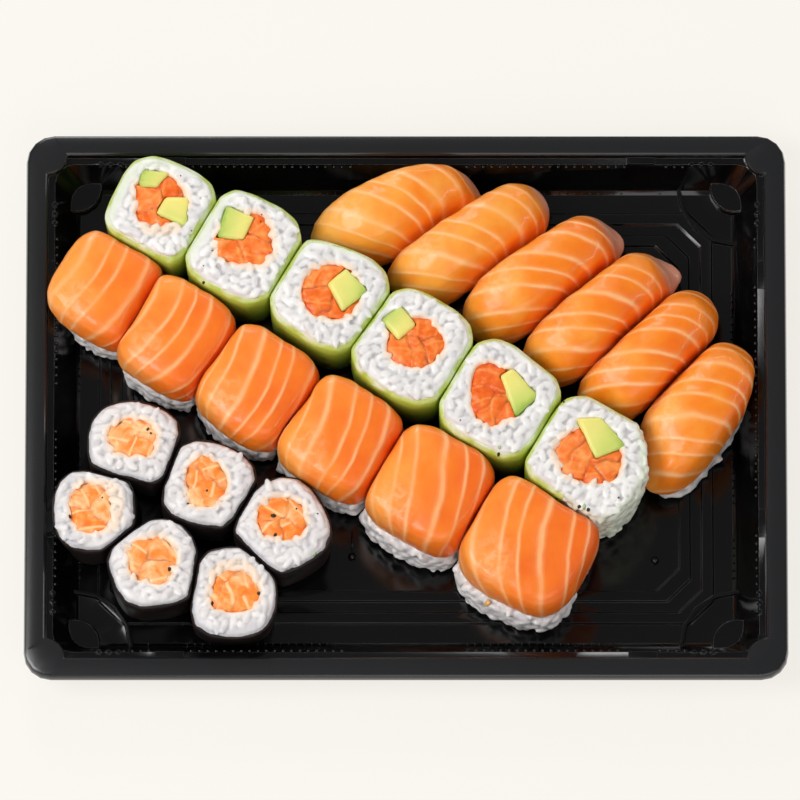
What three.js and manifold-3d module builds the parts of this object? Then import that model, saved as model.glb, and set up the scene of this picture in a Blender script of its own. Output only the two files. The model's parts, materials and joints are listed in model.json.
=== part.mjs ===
// Takeaway sushi tray: a thermoformed black tray holding twenty-four pieces of salmon sushi.
// Sizes are in millimetres. X runs along the tray, Y to its far side, Z up, and it stands on Z = 0.
import * as THREE from 'three';
import { mergeVertices } from 'three/addons/utils/BufferGeometryUtils.js';
import Module from 'manifold-3d';

const wasm = await Module();
wasm.setup();

// Tray sizes
const TRAY_LENGTH = 265;
const TRAY_DEPTH = 196.4;
const TRAY_HEIGHT = 18;
const SHEET = 0.8;
const RIM_WIDTH = 7.4;
const RIM_RADIUS = 9.5;
const LIP_DROP = 3.5;
const LEDGE_WIDTH = 2.6;
const LEDGE_DEPTH = 3.2;
const FLOOR_LENGTH = 230;
const FLOOR_DEPTH = 165;
const FLOOR_RADIUS = 7;
const STEP_OFFSETS = [8.2, 12.2, 16.2, 20];
const STEP_HEIGHT = 0.6;
const STEP_CHAMFER = 8;
const CORNER_POINTS = 5;
const TAB_RADIUS = 7;
const RIB_RADIUS = 20.5;
const RIB_WIDTH = 2;
const RIB_HEIGHT = 1.6;
const POST_RADIUS = 9;
const POST_HEIGHT = 4.5;
const BEAD_RADIUS = 1.3;
const BEAD_PITCH = 3.4;
const PAD_LENGTH = 10;
const CIRCLE_SIDES = 16;

// Food sizes
const REST_HEIGHT = SHEET + STEP_HEIGHT + 0.3;
const CLEARANCE = 0.35;
const ROLL_HEIGHT = 30;
const MAKI_HEIGHT = 24;
const BLOCK_HEIGHT = 31;
const NIGIRI_HEIGHT = 28;
const BLOCK_SLICE = 2.6;
const NIGIRI_SLICE = 3;
const GRAIN_RELIEF = 0.45;
const PIECE_GAP = 0.5;
const WALL_GAP = 0.8;
const OUTLINE_POINTS = 48;
const CONTACT_DIRECTIONS = 72;
const PRESS_LEVELS = 10;
const NEAR_SHARE = 0.62;

// Colours and finishes
const TRAY_FINISH = { color: 0x17181a, roughness: 0.25, metalness: 0 };
const RICE_FINISH = { color: 0xecebea, roughness: 0.55, metalness: 0 };
const SALMON_FINISH = { color: 0xf58a3c, roughness: 0.35, metalness: 0 };
const AVOCADO_FINISH = { color: 0xd6dc72, roughness: 0.45, metalness: 0 };

// Rolls cut face up: place and lean of the top, sides, turn in degrees, the filling and the
// corners of each avocado stick, taken from the middle of the cut face.
const ROLLS = [
  {
    x: -85.4, y: 68, leanX: -2, leanY: 3, length: 35.5, width: 35.5, turn: -27,
    filling: { x: -1, y: 2.6, length: 17, width: 20 },
    avocado: [
      [[-7.4, 7.6], [-1.6, 7], [2.6, 12], [-6, 13.2]],
      [[-1.2, -2.6], [8.6, -6.8], [9.8, 2.8], [1.8, 3.3]],
    ],
  },
  {
    x: -57.2, y: 54.4, leanX: -1, leanY: 1, length: 37, width: 37.5, turn: -29,
    filling: { x: 1, y: 1.6, length: 20, width: 20 },
    avocado: [[[-8.2, 2.4], [0.6, 1.6], [4, 9.4], [-5.2, 13.6]]],
  },
  {
    x: -26.6, y: 37.2, leanX: 0, leanY: 0.6, length: 37.5, width: 37.5, turn: -32,
    filling: { x: 0.6, y: 0, length: 20, width: 21 },
    avocado: [[[-0.3, 2.5], [4.4, -7], [13, 0.3], [5.7, 8]]],
  },
  {
    x: 2.3, y: 18.1, leanX: 0, leanY: 0.3, length: 38, width: 38.5, turn: -33,
    filling: { x: 0.6, y: 0.8, length: 20, width: 19 },
    avocado: [[[-10.6, 8.8], [-5, 1.8], [1, 7], [-4.2, 13.4]]],
  },
  {
    x: 32.5, y: -0.9, leanX: 0, leanY: 0.3, length: 38.5, width: 38.5, turn: -33,
    filling: { x: -1.6, y: 0.8, length: 18, width: 23 },
    avocado: [[[0.3, 7.4], [5.4, -7.2], [13, 0.4], [4.4, 10.1]]],
  },
  {
    x: 64.2, y: -22.4, leanX: 0.8, leanY: 0, length: 41.5, width: 41.5, turn: -33,
    filling: { x: -0.4, y: 0.2, length: 24, width: 20 },
    avocado: [[[1.4, -0.8], [11.8, 3.7], [3.4, 13.7], [-4.8, 13.3]]],
  },
];

// Rice blocks under a draped slice of salmon; swell is how far the rice stands out on the near side
const BLOCKS = [
  { x: -104.6, y: 40.6, leanX: -3.4, leanY: 1.4, length: 37, width: 36.5, turn: -32, swell: 0.6 },
  { x: -81.4, y: 23.8, leanX: -1.6, leanY: 1, length: 37.8, width: 38, turn: -32, swell: 1.2 },
  { x: -52.2, y: 5, leanX: -1, leanY: 0.4, length: 38.4, width: 38.2, turn: -34, swell: 1.2 },
  { x: -23, y: -13.4, leanX: -0.6, leanY: 0.3, length: 39, width: 38.4, turn: -32, swell: 1.8 },
  { x: 8.2, y: -31.8, leanX: 0, leanY: 0, length: 40.5, width: 39.8, turn: -30, swell: 3.2 },
  { x: 42.4, y: -51.9, leanX: 0.4, leanY: 0, length: 44.2, width: 42.6, turn: -30, swell: 3.6 },
];

// Hand-pressed pieces under a long slice of salmon; the tip lets the slice run out to one side
const NIGIRI = [
  { x: -4.6, y: 71.6, leanX: -0.6, leanY: 3, length: 60, width: 26, turn: 22, tip: 2.4 },
  { x: 21.8, y: 60.4, leanX: -0.6, leanY: 1.6, length: 62, width: 27, turn: 33, tip: 0 },
  { x: 46.7, y: 47, leanX: -0.4, leanY: 0.4, length: 62, width: 27, turn: 37, tip: 3 },
  { x: 67, y: 32.6, leanX: 0.4, leanY: -0.4, length: 61, width: 27, turn: 41, tip: 5 },
  { x: 85.6, y: 18.6, leanX: 1.4, leanY: -0.6, length: 59, width: 26.5, turn: 45, tip: 0 },
  { x: 102.2, y: -3.2, leanX: 3.4, leanY: -0.4, length: 60, width: 28, turn: 56, tip: 0 },
];

// Thin seaweed rolls cut face up, each with its filling taken from the middle of the cut face
const MAKI = [
  {
    x: -94.4, y: -15.2, leanX: -0.6, leanY: 0, length: 33, width: 30.4, turn: -10,
    filling: { x: -0.6, y: 1.2, length: 17.6, width: 14.6 },
  },
  {
    x: -108.8, y: -39.4, leanX: -3.6, leanY: 0, length: 29, width: 30.6, turn: 0,
    filling: { x: -0.8, y: 0.2, length: 14.6, width: 18.6 },
  },
  {
    x: -68.6, y: -30.2, leanX: 0, leanY: 0, length: 33.6, width: 31, turn: -15,
    filling: { x: -0.8, y: 0, length: 15, width: 18.8 },
  },
  {
    x: -87.3, y: -58.8, leanX: -0.6, leanY: -0.4, length: 32.2, width: 32, turn: 15,
    filling: { x: -0.8, y: 0.8, length: 17.4, width: 17 },
  },
  {
    x: -43.2, y: -44.8, leanX: 0, leanY: 0, length: 33, width: 33.6, turn: 30,
    filling: { x: 0.3, y: 1.6, length: 18.2, width: 16 },
  },
  {
    x: -60.2, y: -69.6, leanX: 0, leanY: -2.8, length: 31.6, width: 33.4, turn: 0,
    filling: { x: 0.6, y: 0, length: 17.8, width: 15.4 },
  },
];

// Outline power (2 is an ellipse, more is squarer), points round it, height and wave of each kind
const KINDS = {
  roll: { power: 3.3, count: 20, height: ROLL_HEIGHT, seed: 100, waveSize: 0.02 },
  block: { power: 3.4, count: 16, height: BLOCK_HEIGHT, seed: 200, waveSize: 0.02 },
  nigiri: { power: 2.6, count: 16, height: NIGIRI_HEIGHT, seed: 300, waveSize: 0.015 },
  maki: { power: 2.7, count: 18, height: MAKI_HEIGHT, seed: 400, waveSize: 0.03 },
};

// Repeatable random numbers from 0 to 1
function seeded(seed) {
  let state = seed;
  return () => {
    state = (Math.imul(state, 1664525) + 1013904223) >>> 0;
    return state / 4294967296;
  };
}

// Joins rings of equal point count into one skin: a closed tube, or a body with a fan at each end
function skinRings(rings, tube = false) {
  const count = rings[0].length;
  const points = rings.flat();
  const faces = [];
  const bands = tube ? rings.length : rings.length - 1;
  for (let band = 0; band < bands; band += 1) {
    const low = band * count;
    const high = ((band + 1) % rings.length) * count;
    for (let side = 0; side < count; side += 1) {
      const next = (side + 1) % count;
      faces.push(low + side, low + next, high + next);
      faces.push(low + side, high + next, high + side);
    }
  }
  if (!tube) {
    capRing(points, faces, rings[0], 0, true);
    capRing(points, faces, rings[rings.length - 1], (rings.length - 1) * count, false);
  }
  const geometry = new THREE.BufferGeometry();
  geometry.setAttribute('position', new THREE.Float32BufferAttribute(points.flat(), 3));
  geometry.setIndex(faces);
  return geometry;
}

// Fans one end ring to its middle, at the height of the ring's highest point
function capRing(points, faces, ring, start, facesDown) {
  const middleX = ring.reduce((sum, point) => sum + point[0], 0) / ring.length;
  const middleY = ring.reduce((sum, point) => sum + point[1], 0) / ring.length;
  const crest = Math.max(...ring.map((point) => point[2]));
  const hub = points.length;
  points.push([middleX, middleY, crest]);
  for (let side = 0; side < ring.length; side += 1) {
    const next = (side + 1) % ring.length;
    faces.push(hub, start + (facesDown ? next : side), start + (facesDown ? side : next));
  }
}

function toSolid(geometry) {
  const bare = geometry.clone();
  bare.deleteAttribute('normal');
  bare.deleteAttribute('uv');
  const merged = mergeVertices(bare, 1e-4);
  const vertProperties = new Float32Array(merged.attributes.position.array);
  const triVerts = new Uint32Array(merged.index.array);
  return new wasm.Manifold(new wasm.Mesh({ numProp: 3, vertProperties, triVerts }));
}

function toGeometry(solid) {
  const mesh = solid.getMesh();
  const geometry = new THREE.BufferGeometry();
  geometry.setAttribute('position', new THREE.Float32BufferAttribute(mesh.vertProperties, 3));
  geometry.setIndex(Array.from(mesh.triVerts));
  return geometry;
}

function namedMesh(name, geometry, finish) {
  const shown = geometry.clone();
  shown.computeVertexNormals();
  const mesh = new THREE.Mesh(shown, new THREE.MeshStandardMaterial(finish));
  mesh.name = name;
  return mesh;
}

// Rectangle ring with rounded corners, or with straight cut corners
function trayRing(halfX, halfY, corner, z, cut = false) {
  const ring = [];
  for (let quarter = 0; quarter < 4; quarter += 1) {
    const signX = quarter === 0 || quarter === 3 ? 1 : -1;
    const signY = quarter < 2 ? 1 : -1;
    for (let step = 0; step < CORNER_POINTS; step += 1) {
      const share = step / (CORNER_POINTS - 1);
      const angle = (quarter + share) * Math.PI / 2;
      const alongX = quarter % 2 === 0 ? 1 - share : share;
      const reachX = cut ? alongX : Math.abs(Math.cos(angle));
      const reachY = cut ? 1 - alongX : Math.abs(Math.sin(angle));
      ring.push([signX * (halfX - corner + corner * reachX), signY * (halfY - corner + corner * reachY), z]);
    }
  }
  return ring;
}

// Stepped eight-sided floor, from its middle out
function floorRings() {
  const rings = [];
  const slope = 0.3;
  for (let index = STEP_OFFSETS.length - 1; index >= 0; index -= 1) {
    const raisedInside = index % 2 === 0;
    const insideZ = SHEET + (raisedInside ? STEP_HEIGHT : 0);
    const outsideZ = SHEET + (raisedInside ? 0 : STEP_HEIGHT);
    const inner = STEP_OFFSETS[index] + slope;
    const outer = STEP_OFFSETS[index] - slope;
    rings.push(trayRing(FLOOR_LENGTH / 2 - inner, FLOOR_DEPTH / 2 - inner, STEP_CHAMFER, insideZ, true));
    rings.push(trayRing(FLOOR_LENGTH / 2 - outer, FLOOR_DEPTH / 2 - outer, STEP_CHAMFER, outsideZ, true));
  }
  return rings;
}

// Section of the wall and rim: distances from the outer edge, or out from the floor edge
function wallSection() {
  const rimInner = RIM_WIDTH;
  const ledgeInner = RIM_WIDTH + LEDGE_WIDTH;
  const ledgeZ = TRAY_HEIGHT - LEDGE_DEPTH;
  const lipZ = TRAY_HEIGHT - LIP_DROP;
  const under = [
    { floor: -1.2, z: 0 },
    { floor: 0.6, z: 0.8 },
    { edge: ledgeInner - SHEET, z: ledgeZ - 0.8 },
    { edge: rimInner - 0.4, z: ledgeZ - 0.6 },
    { edge: rimInner - 0.9, z: TRAY_HEIGHT - 1.4 },
    { edge: rimInner - 1.6, z: TRAY_HEIGHT - SHEET },
    { edge: 2, z: TRAY_HEIGHT - SHEET },
    { edge: 1.2, z: TRAY_HEIGHT - 1.4 },
    { edge: 0.8, z: lipZ },
  ];
  const over = [
    { edge: 0, z: lipZ },
    { edge: 0.3, z: TRAY_HEIGHT - 1.2 },
    { edge: 0.6, z: TRAY_HEIGHT - 0.3 },
    { edge: 1.4, z: TRAY_HEIGHT },
    { edge: rimInner - 0.7, z: TRAY_HEIGHT },
    { edge: rimInner, z: TRAY_HEIGHT - 0.6 },
    { edge: rimInner + 0.4, z: ledgeZ + 0.1 },
    { edge: ledgeInner, z: ledgeZ - 0.1 },
    { floor: 0, z: SHEET + 0.9 },
    { floor: -1.3, z: SHEET },
  ];
  return { under, over };
}

function sectionRing({ edge, floor, z }) {
  if (floor !== undefined) {
    return trayRing(FLOOR_LENGTH / 2 + floor, FLOOR_DEPTH / 2 + floor, FLOOR_RADIUS, z);
  }
  const radius = Math.max(RIM_RADIUS - edge * 0.3, FLOOR_RADIUS);
  return trayRing(TRAY_LENGTH / 2 - edge, TRAY_DEPTH / 2 - edge, radius, z);
}

// Ring of one circle, used for posts and ribs
function circleRing(x, y, radius, z) {
  return Array.from({ length: CIRCLE_SIDES }, (_, side) => {
    const angle = side / CIRCLE_SIDES * Math.PI * 2;
    return [x + radius * Math.cos(angle), y + radius * Math.sin(angle), z];
  });
}

function post(x, y, radius, lowZ, highZ) {
  const shoulder = 0.5;
  return toSolid(skinRings([
    circleRing(x, y, radius, lowZ),
    circleRing(x, y, radius, highZ - shoulder),
    circleRing(x, y, radius - shoulder, highZ),
  ]));
}

function roundRib(x, y, lowZ, highZ) {
  return toSolid(skinRings([
    circleRing(x, y, RIB_RADIUS, lowZ),
    circleRing(x, y, RIB_RADIUS - 0.5, highZ),
    circleRing(x, y, RIB_RADIUS - RIB_WIDTH + 0.5, highZ),
    circleRing(x, y, RIB_RADIUS - RIB_WIDTH, lowZ),
  ], true));
}

// Raised forms at one corner: rim tab, stacking post, rib and the beads on both ledges
function cornerForms(signX, signY) {
  const forms = [];
  const rimX = signX * (TRAY_LENGTH / 2 - RIM_WIDTH);
  const rimY = signY * (TRAY_DEPTH / 2 - RIM_WIDTH);
  const floorX = signX * FLOOR_LENGTH / 2;
  const floorY = signY * FLOOR_DEPTH / 2;
  forms.push(post(rimX, rimY, TAB_RADIUS, TRAY_HEIGHT - 7, TRAY_HEIGHT));
  forms.push(post(floorX, floorY, POST_RADIUS, SHEET / 2, SHEET + POST_HEIGHT));
  forms.push(roundRib(floorX, floorY, SHEET / 2, SHEET + RIB_HEIGHT));
  const beadZ = TRAY_HEIGHT - LEDGE_DEPTH - 0.4;
  const ledge = RIM_WIDTH + LEDGE_WIDTH;
  for (let bead = 0; bead < 3; bead += 1) {
    const alongX = TRAY_LENGTH / 2 - 26 - bead * BEAD_PITCH;
    const alongY = TRAY_DEPTH / 2 - 24.5 - bead * BEAD_PITCH;
    forms.push(ledgeBead(signX * alongX, signY * (TRAY_DEPTH / 2 - ledge), beadZ));
    forms.push(ledgeBead(signX * (TRAY_LENGTH / 2 - ledge), signY * alongY, beadZ));
  }
  return forms;
}

function ledgeBead(x, y, z) {
  const sphere = new THREE.IcosahedronGeometry(BEAD_RADIUS, 0);
  return toSolid(sphere.translate(x, y, z));
}

// Smooth raised pads spread along the ledges
function ledgePads() {
  const inset = RIM_WIDTH + LEDGE_WIDTH / 2;
  const z = TRAY_HEIGHT - LEDGE_DEPTH + 0.2;
  const pads = [];
  for (const side of [-1, 1]) {
    for (const x of [-82, 82]) {
      const bar = new THREE.BoxGeometry(PAD_LENGTH, LEDGE_WIDTH, 1.2);
      pads.push(toSolid(bar.translate(x, side * (TRAY_DEPTH / 2 - inset), z)));
    }
    for (const y of [-42, 48]) {
      const bar = new THREE.BoxGeometry(LEDGE_WIDTH, PAD_LENGTH, 1.2);
      pads.push(toSolid(bar.translate(side * (TRAY_LENGTH / 2 - inset), y, z)));
    }
  }
  return pads;
}

function buildTray() {
  const { under, over } = wallSection();
  const underside = under.map(sectionRing);
  const topside = [...over.map(sectionRing), ...floorRings().reverse()];
  const shell = toSolid(skinRings([...underside, ...topside]));
  const block = toSolid(skinRings([...underside, ...over.slice(0, 5).map(sectionRing)]));
  let forms = null;
  for (const [signX, signY] of [[1, 1], [-1, 1], [-1, -1], [1, -1]]) {
    for (const form of cornerForms(signX, signY)) {
      forms = forms ? forms.add(form) : form;
    }
  }
  for (const pad of ledgePads()) {
    forms = forms.add(pad);
  }
  return toGeometry(shell.add(forms.intersect(block)).simplify(0.02));
}

// Outline of one piece of food: a rounded oblong with its own slow waves
function foodShape(piece, { power, count, height = 0, waveSize }, seed) {
  const random = seeded(seed);
  const waves = [2, 3, 5].map((turns) => ({
    turns,
    size: waveSize * (random() - 0.5),
    shift: random() * Math.PI * 2,
  }));
  return { ...piece, power, count, height, seed, waves, random };
}

function piecesOf(kind, pieces) {
  return pieces.map((piece, index) => ({
    ...foodShape(piece, KINDS[kind], KINDS[kind].seed + index),
    name: `${kind}_${index + 1}`,
  }));
}

// One point of an outline that is drawn in by inset, turned as the piece is
function outlinePoint(shape, step, inset, cut = 0) {
  const halfX = shape.length / 2 - inset;
  const halfY = shape.width / 2 - inset;
  const angle = Math.atan2(halfY * Math.sin(step), halfX * Math.cos(step));
  const spread = (Math.abs(Math.cos(angle)) / halfX) ** shape.power
    + (Math.abs(Math.sin(angle)) / halfY) ** shape.power;
  let radius = spread ** (-1 / shape.power);
  for (const wave of shape.waves) {
    radius *= 1 + wave.size * Math.cos(wave.turns * step + wave.shift);
  }
  const turned = angle + THREE.MathUtils.degToRad(shape.turn ?? 0);
  return [(radius - cut) * Math.cos(turned), (radius - cut) * Math.sin(turned)];
}

function centreAt(shape, share) {
  return [shape.x + shape.leanX * (share - 1), shape.y + shape.leanY * (share - 1)];
}

// How far an outline reaches from its centre along a direction
function reachOf(shape, alongX, alongY) {
  let reach = 0;
  for (let index = 0; index < OUTLINE_POINTS; index += 1) {
    const [x, y] = outlinePoint(shape, index / OUTLINE_POINTS * Math.PI * 2, 0);
    reach = Math.max(reach, x * alongX + y * alongY);
  }
  return reach;
}

// Flat contact between two soft pieces: across the direction in which they overlap least
function contactPlane(shape, other, share) {
  const [x, y] = centreAt(shape, share);
  const [otherX, otherY] = centreAt(other, share);
  let best = null;
  for (let index = 0; index < CONTACT_DIRECTIONS; index += 1) {
    const angle = index / CONTACT_DIRECTIONS * Math.PI * 2;
    const alongX = Math.cos(angle);
    const alongY = Math.sin(angle);
    const apart = (otherX - x) * alongX + (otherY - y) * alongY;
    if (apart <= 0) {
      continue;
    }
    const reach = reachOf(shape, alongX, alongY);
    const overlap = reach + reachOf(other, -alongX, -alongY) + PIECE_GAP - apart;
    if (!best || overlap < best.overlap) {
      best = { alongX, alongY, overlap, reach: reach - overlap / 2 };
    }
  }
  return best;
}

// Inner half sizes of the tray wall at a height, or none above the rim
function wallPlanes(shape, share) {
  const z = REST_HEIGHT + share * shape.height;
  if (z > TRAY_HEIGHT + PIECE_GAP) {
    return [];
  }
  const climb = THREE.MathUtils.clamp((z - SHEET) / (TRAY_HEIGHT - LEDGE_DEPTH - SHEET), 0, 1);
  const ledge = RIM_WIDTH + LEDGE_WIDTH;
  const halfX = THREE.MathUtils.lerp(FLOOR_LENGTH / 2, TRAY_LENGTH / 2 - ledge, climb) - WALL_GAP;
  const halfY = THREE.MathUtils.lerp(FLOOR_DEPTH / 2, TRAY_DEPTH / 2 - ledge, climb) - WALL_GAP;
  const [x, y] = centreAt(shape, share);
  return [
    { alongX: 1, alongY: 0, reach: halfX - x },
    { alongX: -1, alongY: 0, reach: halfX + x },
    { alongX: 0, alongY: 1, reach: halfY - y },
    { alongX: 0, alongY: -1, reach: halfY + y },
  ];
}

// Every flat contact of a piece at one share of its height. Those with its neighbours are kept.
function pressPlanes(shape, share) {
  const key = Math.round(share * PRESS_LEVELS);
  shape.pressed ??= {};
  if (!shape.pressed[key]) {
    const near = FOOD.filter((other) => other.name !== shape.name
      && Math.hypot(other.x - shape.x, other.y - shape.y) < (shape.length + other.length) * NEAR_SHARE);
    const contacts = near.map((other) => contactPlane(shape, other, key / PRESS_LEVELS));
    shape.pressed[key] = contacts.filter(({ overlap }) => overlap > 0);
  }
  return [...shape.pressed[key], ...wallPlanes(shape, share)];
}

// One ring of a piece. inset and z are numbers, or inset(step) and z(step, x, y).
function foodRing(shape, inset, z, roughness = 0) {
  const ring = [];
  for (let index = 0; index < shape.count; index += 1) {
    const step = index / shape.count * Math.PI * 2;
    const pull = typeof inset === 'function' ? inset(step) : inset;
    let [x, y] = outlinePoint(shape, step, pull, roughness * shape.random());
    const turn = -THREE.MathUtils.degToRad(shape.turn ?? 0);
    const alongPiece = x * Math.cos(turn) - y * Math.sin(turn);
    const height = (typeof z === 'function' ? z(step, alongPiece) : z) + roughness * (shape.random() - 0.5);
    const planes = shape.height > 0 ? pressPlanes(shape, height / shape.height) : [];
    for (const { alongX, alongY, reach } of planes) {
      const over = x * alongX + y * alongY - (reach - Math.max(pull, 0));
      x -= alongX * Math.max(over, 0);
      y -= alongY * Math.max(over, 0);
    }
    ring.push([x, y, height]);
  }
  return ring;
}

// Moves the upper part of a piece sideways by its lean; the base keeps its place
function leanOver(geometry, piece, height) {
  const place = geometry.attributes.position;
  for (let index = 0; index < place.count; index += 1) {
    const share = place.getZ(index) / height - 1;
    place.setX(index, place.getX(index) + piece.leanX * share);
    place.setY(index, place.getY(index) + piece.leanY * share);
  }
  return geometry;
}

// Upright prism on a few corner points, grown outwards by spread
function prism(corners, lowZ, highZ, spread = 0) {
  const middleX = corners.reduce((sum, corner) => sum + corner[0], 0) / corners.length;
  const middleY = corners.reduce((sum, corner) => sum + corner[1], 0) / corners.length;
  const ringAt = (z) => corners.map(([x, y]) => {
    const reach = Math.hypot(x - middleX, y - middleY);
    const scale = (reach + spread) / reach;
    return [middleX + (x - middleX) * scale, middleY + (y - middleY) * scale, z];
  });
  return toSolid(skinRings([ringAt(lowZ), ringAt(highZ)]));
}

// Filling column cut from an oblong, with a slightly torn top
function fillingColumn(filling, height, seed, inset) {
  const shape = foodShape(filling, { power: 2.6, count: 14, waveSize: 0.14 }, seed);
  const rings = inset > 0
    ? [
      foodRing(shape, inset, 0),
      foodRing(shape, inset, height - 0.9),
      foodRing(shape, inset + 1.6, height, 0.5),
    ]
    : [foodRing(shape, 0, -1), foodRing(shape, 0, height + 3)];
  return toSolid(skinRings(rings).translate(filling.x, filling.y, 0));
}

function largestPart(solid) {
  return solid.decompose().sort((one, other) => other.volume() - one.volume())[0];
}

// Rice ring in its thin wrap, open through the middle where the filling runs
function rollBody(shape) {
  const { height } = shape;
  return skinRings([
    foodRing(shape, 2, 0),
    foodRing(shape, 0.2, 4),
    foodRing(shape, 0, height - 3),
    foodRing(shape, 1.2, height - 0.4, GRAIN_RELIEF),
    foodRing(shape, 4, height, GRAIN_RELIEF * 2),
    foodRing(shape, 7, height, GRAIN_RELIEF),
  ]);
}

function buildRoll(piece) {
  const { name, seed, avocado: sticks } = piece;
  const hole = fillingColumn(piece.filling, ROLL_HEIGHT, seed, 0);
  const column = fillingColumn(piece.filling, ROLL_HEIGHT, seed, CLEARANCE);
  let body = toSolid(rollBody(piece)).subtract(hole);
  let salmon = column;
  for (const stick of sticks) {
    body = body.subtract(prism(stick, -1, ROLL_HEIGHT + 3, 0.6));
    salmon = salmon.subtract(prism(stick, -1, ROLL_HEIGHT + 3, 0.6));
  }
  const group = placedGroup(piece);
  const add = (part, solid, finish) => {
    const leaned = leanOver(toGeometry(solid), piece, ROLL_HEIGHT);
    group.add(namedMesh(`${name}_${part}`, leaned, finish));
  };
  add('rice', largestPart(body), RICE_FINISH);
  add('salmon', largestPart(salmon), SALMON_FINISH);
  sticks.forEach((stick, order) => {
    const part = sticks.length > 1 ? `avocado_${order + 1}` : 'avocado';
    add(part, prism(stick, 0, ROLL_HEIGHT + 0.6), AVOCADO_FINISH);
  });
  return group;
}

function buildMaki(piece) {
  const { name, seed, filling } = piece;
  const hole = fillingColumn(filling, MAKI_HEIGHT, seed, 0);
  const body = toSolid(rollBody(piece)).subtract(hole);
  const column = fillingColumn(filling, MAKI_HEIGHT, seed, CLEARANCE);
  const group = placedGroup(piece);
  const rice = leanOver(toGeometry(largestPart(body)), piece, MAKI_HEIGHT);
  const salmon = leanOver(toGeometry(column), piece, MAKI_HEIGHT);
  group.add(namedMesh(`${name}_rice`, rice, RICE_FINISH));
  group.add(namedMesh(`${name}_salmon`, salmon, SALMON_FINISH));
  return group;
}

function placedGroup(piece) {
  const group = new THREE.Group();
  group.position.set(piece.x, piece.y, REST_HEIGHT);
  return group;
}

// Lower edge of a block's slice: highest on the near side, lower between neighbours
function blockHem(step) {
  return 11 - 2.5 * Math.sin(step) - 1.2 * Math.cos(2 * step);
}

// The rice swells out under the hem on the near side, and stays in between neighbours
function blockSwell(shape, step) {
  return 1 - (1 + shape.swell) * Math.max(0, -Math.sin(step)) ** 0.7;
}

function buildBlock(shape) {
  const top = BLOCK_HEIGHT;
  const under = top - BLOCK_SLICE;
  const slice = skinRings([
    foodRing(shape, 7, under - 0.4),
    foodRing(shape, BLOCK_SLICE + 0.7, under - 3.4),
    foodRing(shape, BLOCK_SLICE + 0.1, (step) => blockHem(step) + 0.6),
    foodRing(shape, 0.5, blockHem),
    foodRing(shape, 0, top * 0.66),
    foodRing(shape, 1.2, top - 3.6),
    foodRing(shape, 4, top - 1),
    foodRing(shape, 9, top),
  ]);
  const swell = (step) => blockSwell(shape, step);
  const rice = skinRings([
    foodRing(shape, (step) => swell(step) + 1.4, 0),
    foodRing(shape, swell, 3, GRAIN_RELIEF),
    foodRing(shape, (step) => swell(step) * 0.8 + 0.4, (step) => blockHem(step) - 1.1, GRAIN_RELIEF * 1.6),
    foodRing(shape, BLOCK_SLICE + 0.6, (step) => blockHem(step) + 0.1),
    foodRing(shape, BLOCK_SLICE + 1.2, under - 4),
    foodRing(shape, 7.6, under - 0.9),
  ]);
  const group = placedGroup(shape);
  group.add(namedMesh(`${shape.name}_rice`, leanOver(rice, shape, top), RICE_FINISH));
  group.add(namedMesh(`${shape.name}_salmon`, leanOver(slice, shape, top), SALMON_FINISH));
  return group;
}

function buildNigiri(shape) {
  const top = NIGIRI_HEIGHT;
  const thick = NIGIRI_SLICE;
  // The ends of the piece curve down, and the slice's corner at the far end may run out
  const drop = (x) => 9 * Math.abs(x / (shape.length / 2)) ** 2.4;
  const at = (z) => (step, x) => z - drop(x);
  const hem = (step) => 6 + 1.5 * Math.cos(2 * step + 0.6);
  const tip = (step) => -shape.tip * Math.max(0, Math.cos(step + 0.35)) ** 10;
  const slice = skinRings([
    foodRing(shape, 8.4, at(top - thick - 0.5)),
    foodRing(shape, thick + 1.5, at(top - thick - 4.4)),
    foodRing(shape, thick, (step) => hem(step) + 0.8),
    foodRing(shape, (step) => 0.6 + tip(step), hem),
    foodRing(shape, 0, (step, x) => hem(step) + 5.5 - drop(x) * 0.3),
    foodRing(shape, 2, at(top - 5.2)),
    foodRing(shape, 5.5, at(top - 1.6)),
    foodRing(shape, 10, at(top)),
  ]);
  const rice = skinRings([
    foodRing(shape, 3, 0),
    foodRing(shape, 1.6, 2.4, GRAIN_RELIEF),
    foodRing(shape, 1.8, (step) => hem(step) - 1.2, GRAIN_RELIEF),
    foodRing(shape, thick + 1, (step) => hem(step) + 0.4),
    foodRing(shape, thick + 2.8, at(top - thick - 5.8)),
    foodRing(shape, 9.4, at(top - thick - 1.7)),
  ]);
  const group = placedGroup(shape);
  group.add(namedMesh(`${shape.name}_rice`, leanOver(rice, shape, top), RICE_FINISH));
  group.add(namedMesh(`${shape.name}_salmon`, leanOver(slice, shape, top), SALMON_FINISH));
  return group;
}

const rolls = piecesOf('roll', ROLLS);
const blocks = piecesOf('block', BLOCKS);
const nigiri = piecesOf('nigiri', NIGIRI);
const maki = piecesOf('maki', MAKI);
const FOOD = [...rolls, ...blocks, ...nigiri, ...maki];

const sushiTray = new THREE.Group();
sushiTray.add(namedMesh('tray', buildTray(), TRAY_FINISH));
sushiTray.add(...rolls.map(buildRoll), ...blocks.map(buildBlock));
sushiTray.add(...nigiri.map(buildNigiri), ...maki.map(buildMaki));

export default sushiTray;
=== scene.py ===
"""Looks of the takeaway sushi tray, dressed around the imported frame.

Lengths are in metres in the frame's own axes: X along the tray, Y to its far side, Z up.
Sizes of the real thing are written in millimetres and multiplied by MM.
"""

import json
import logging
import math
from collections.abc import Callable
from dataclasses import dataclass, field
from enum import Enum

import bpy
import numpy as np
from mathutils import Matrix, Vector, noise
from mathutils.kdtree import KDTree

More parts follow.
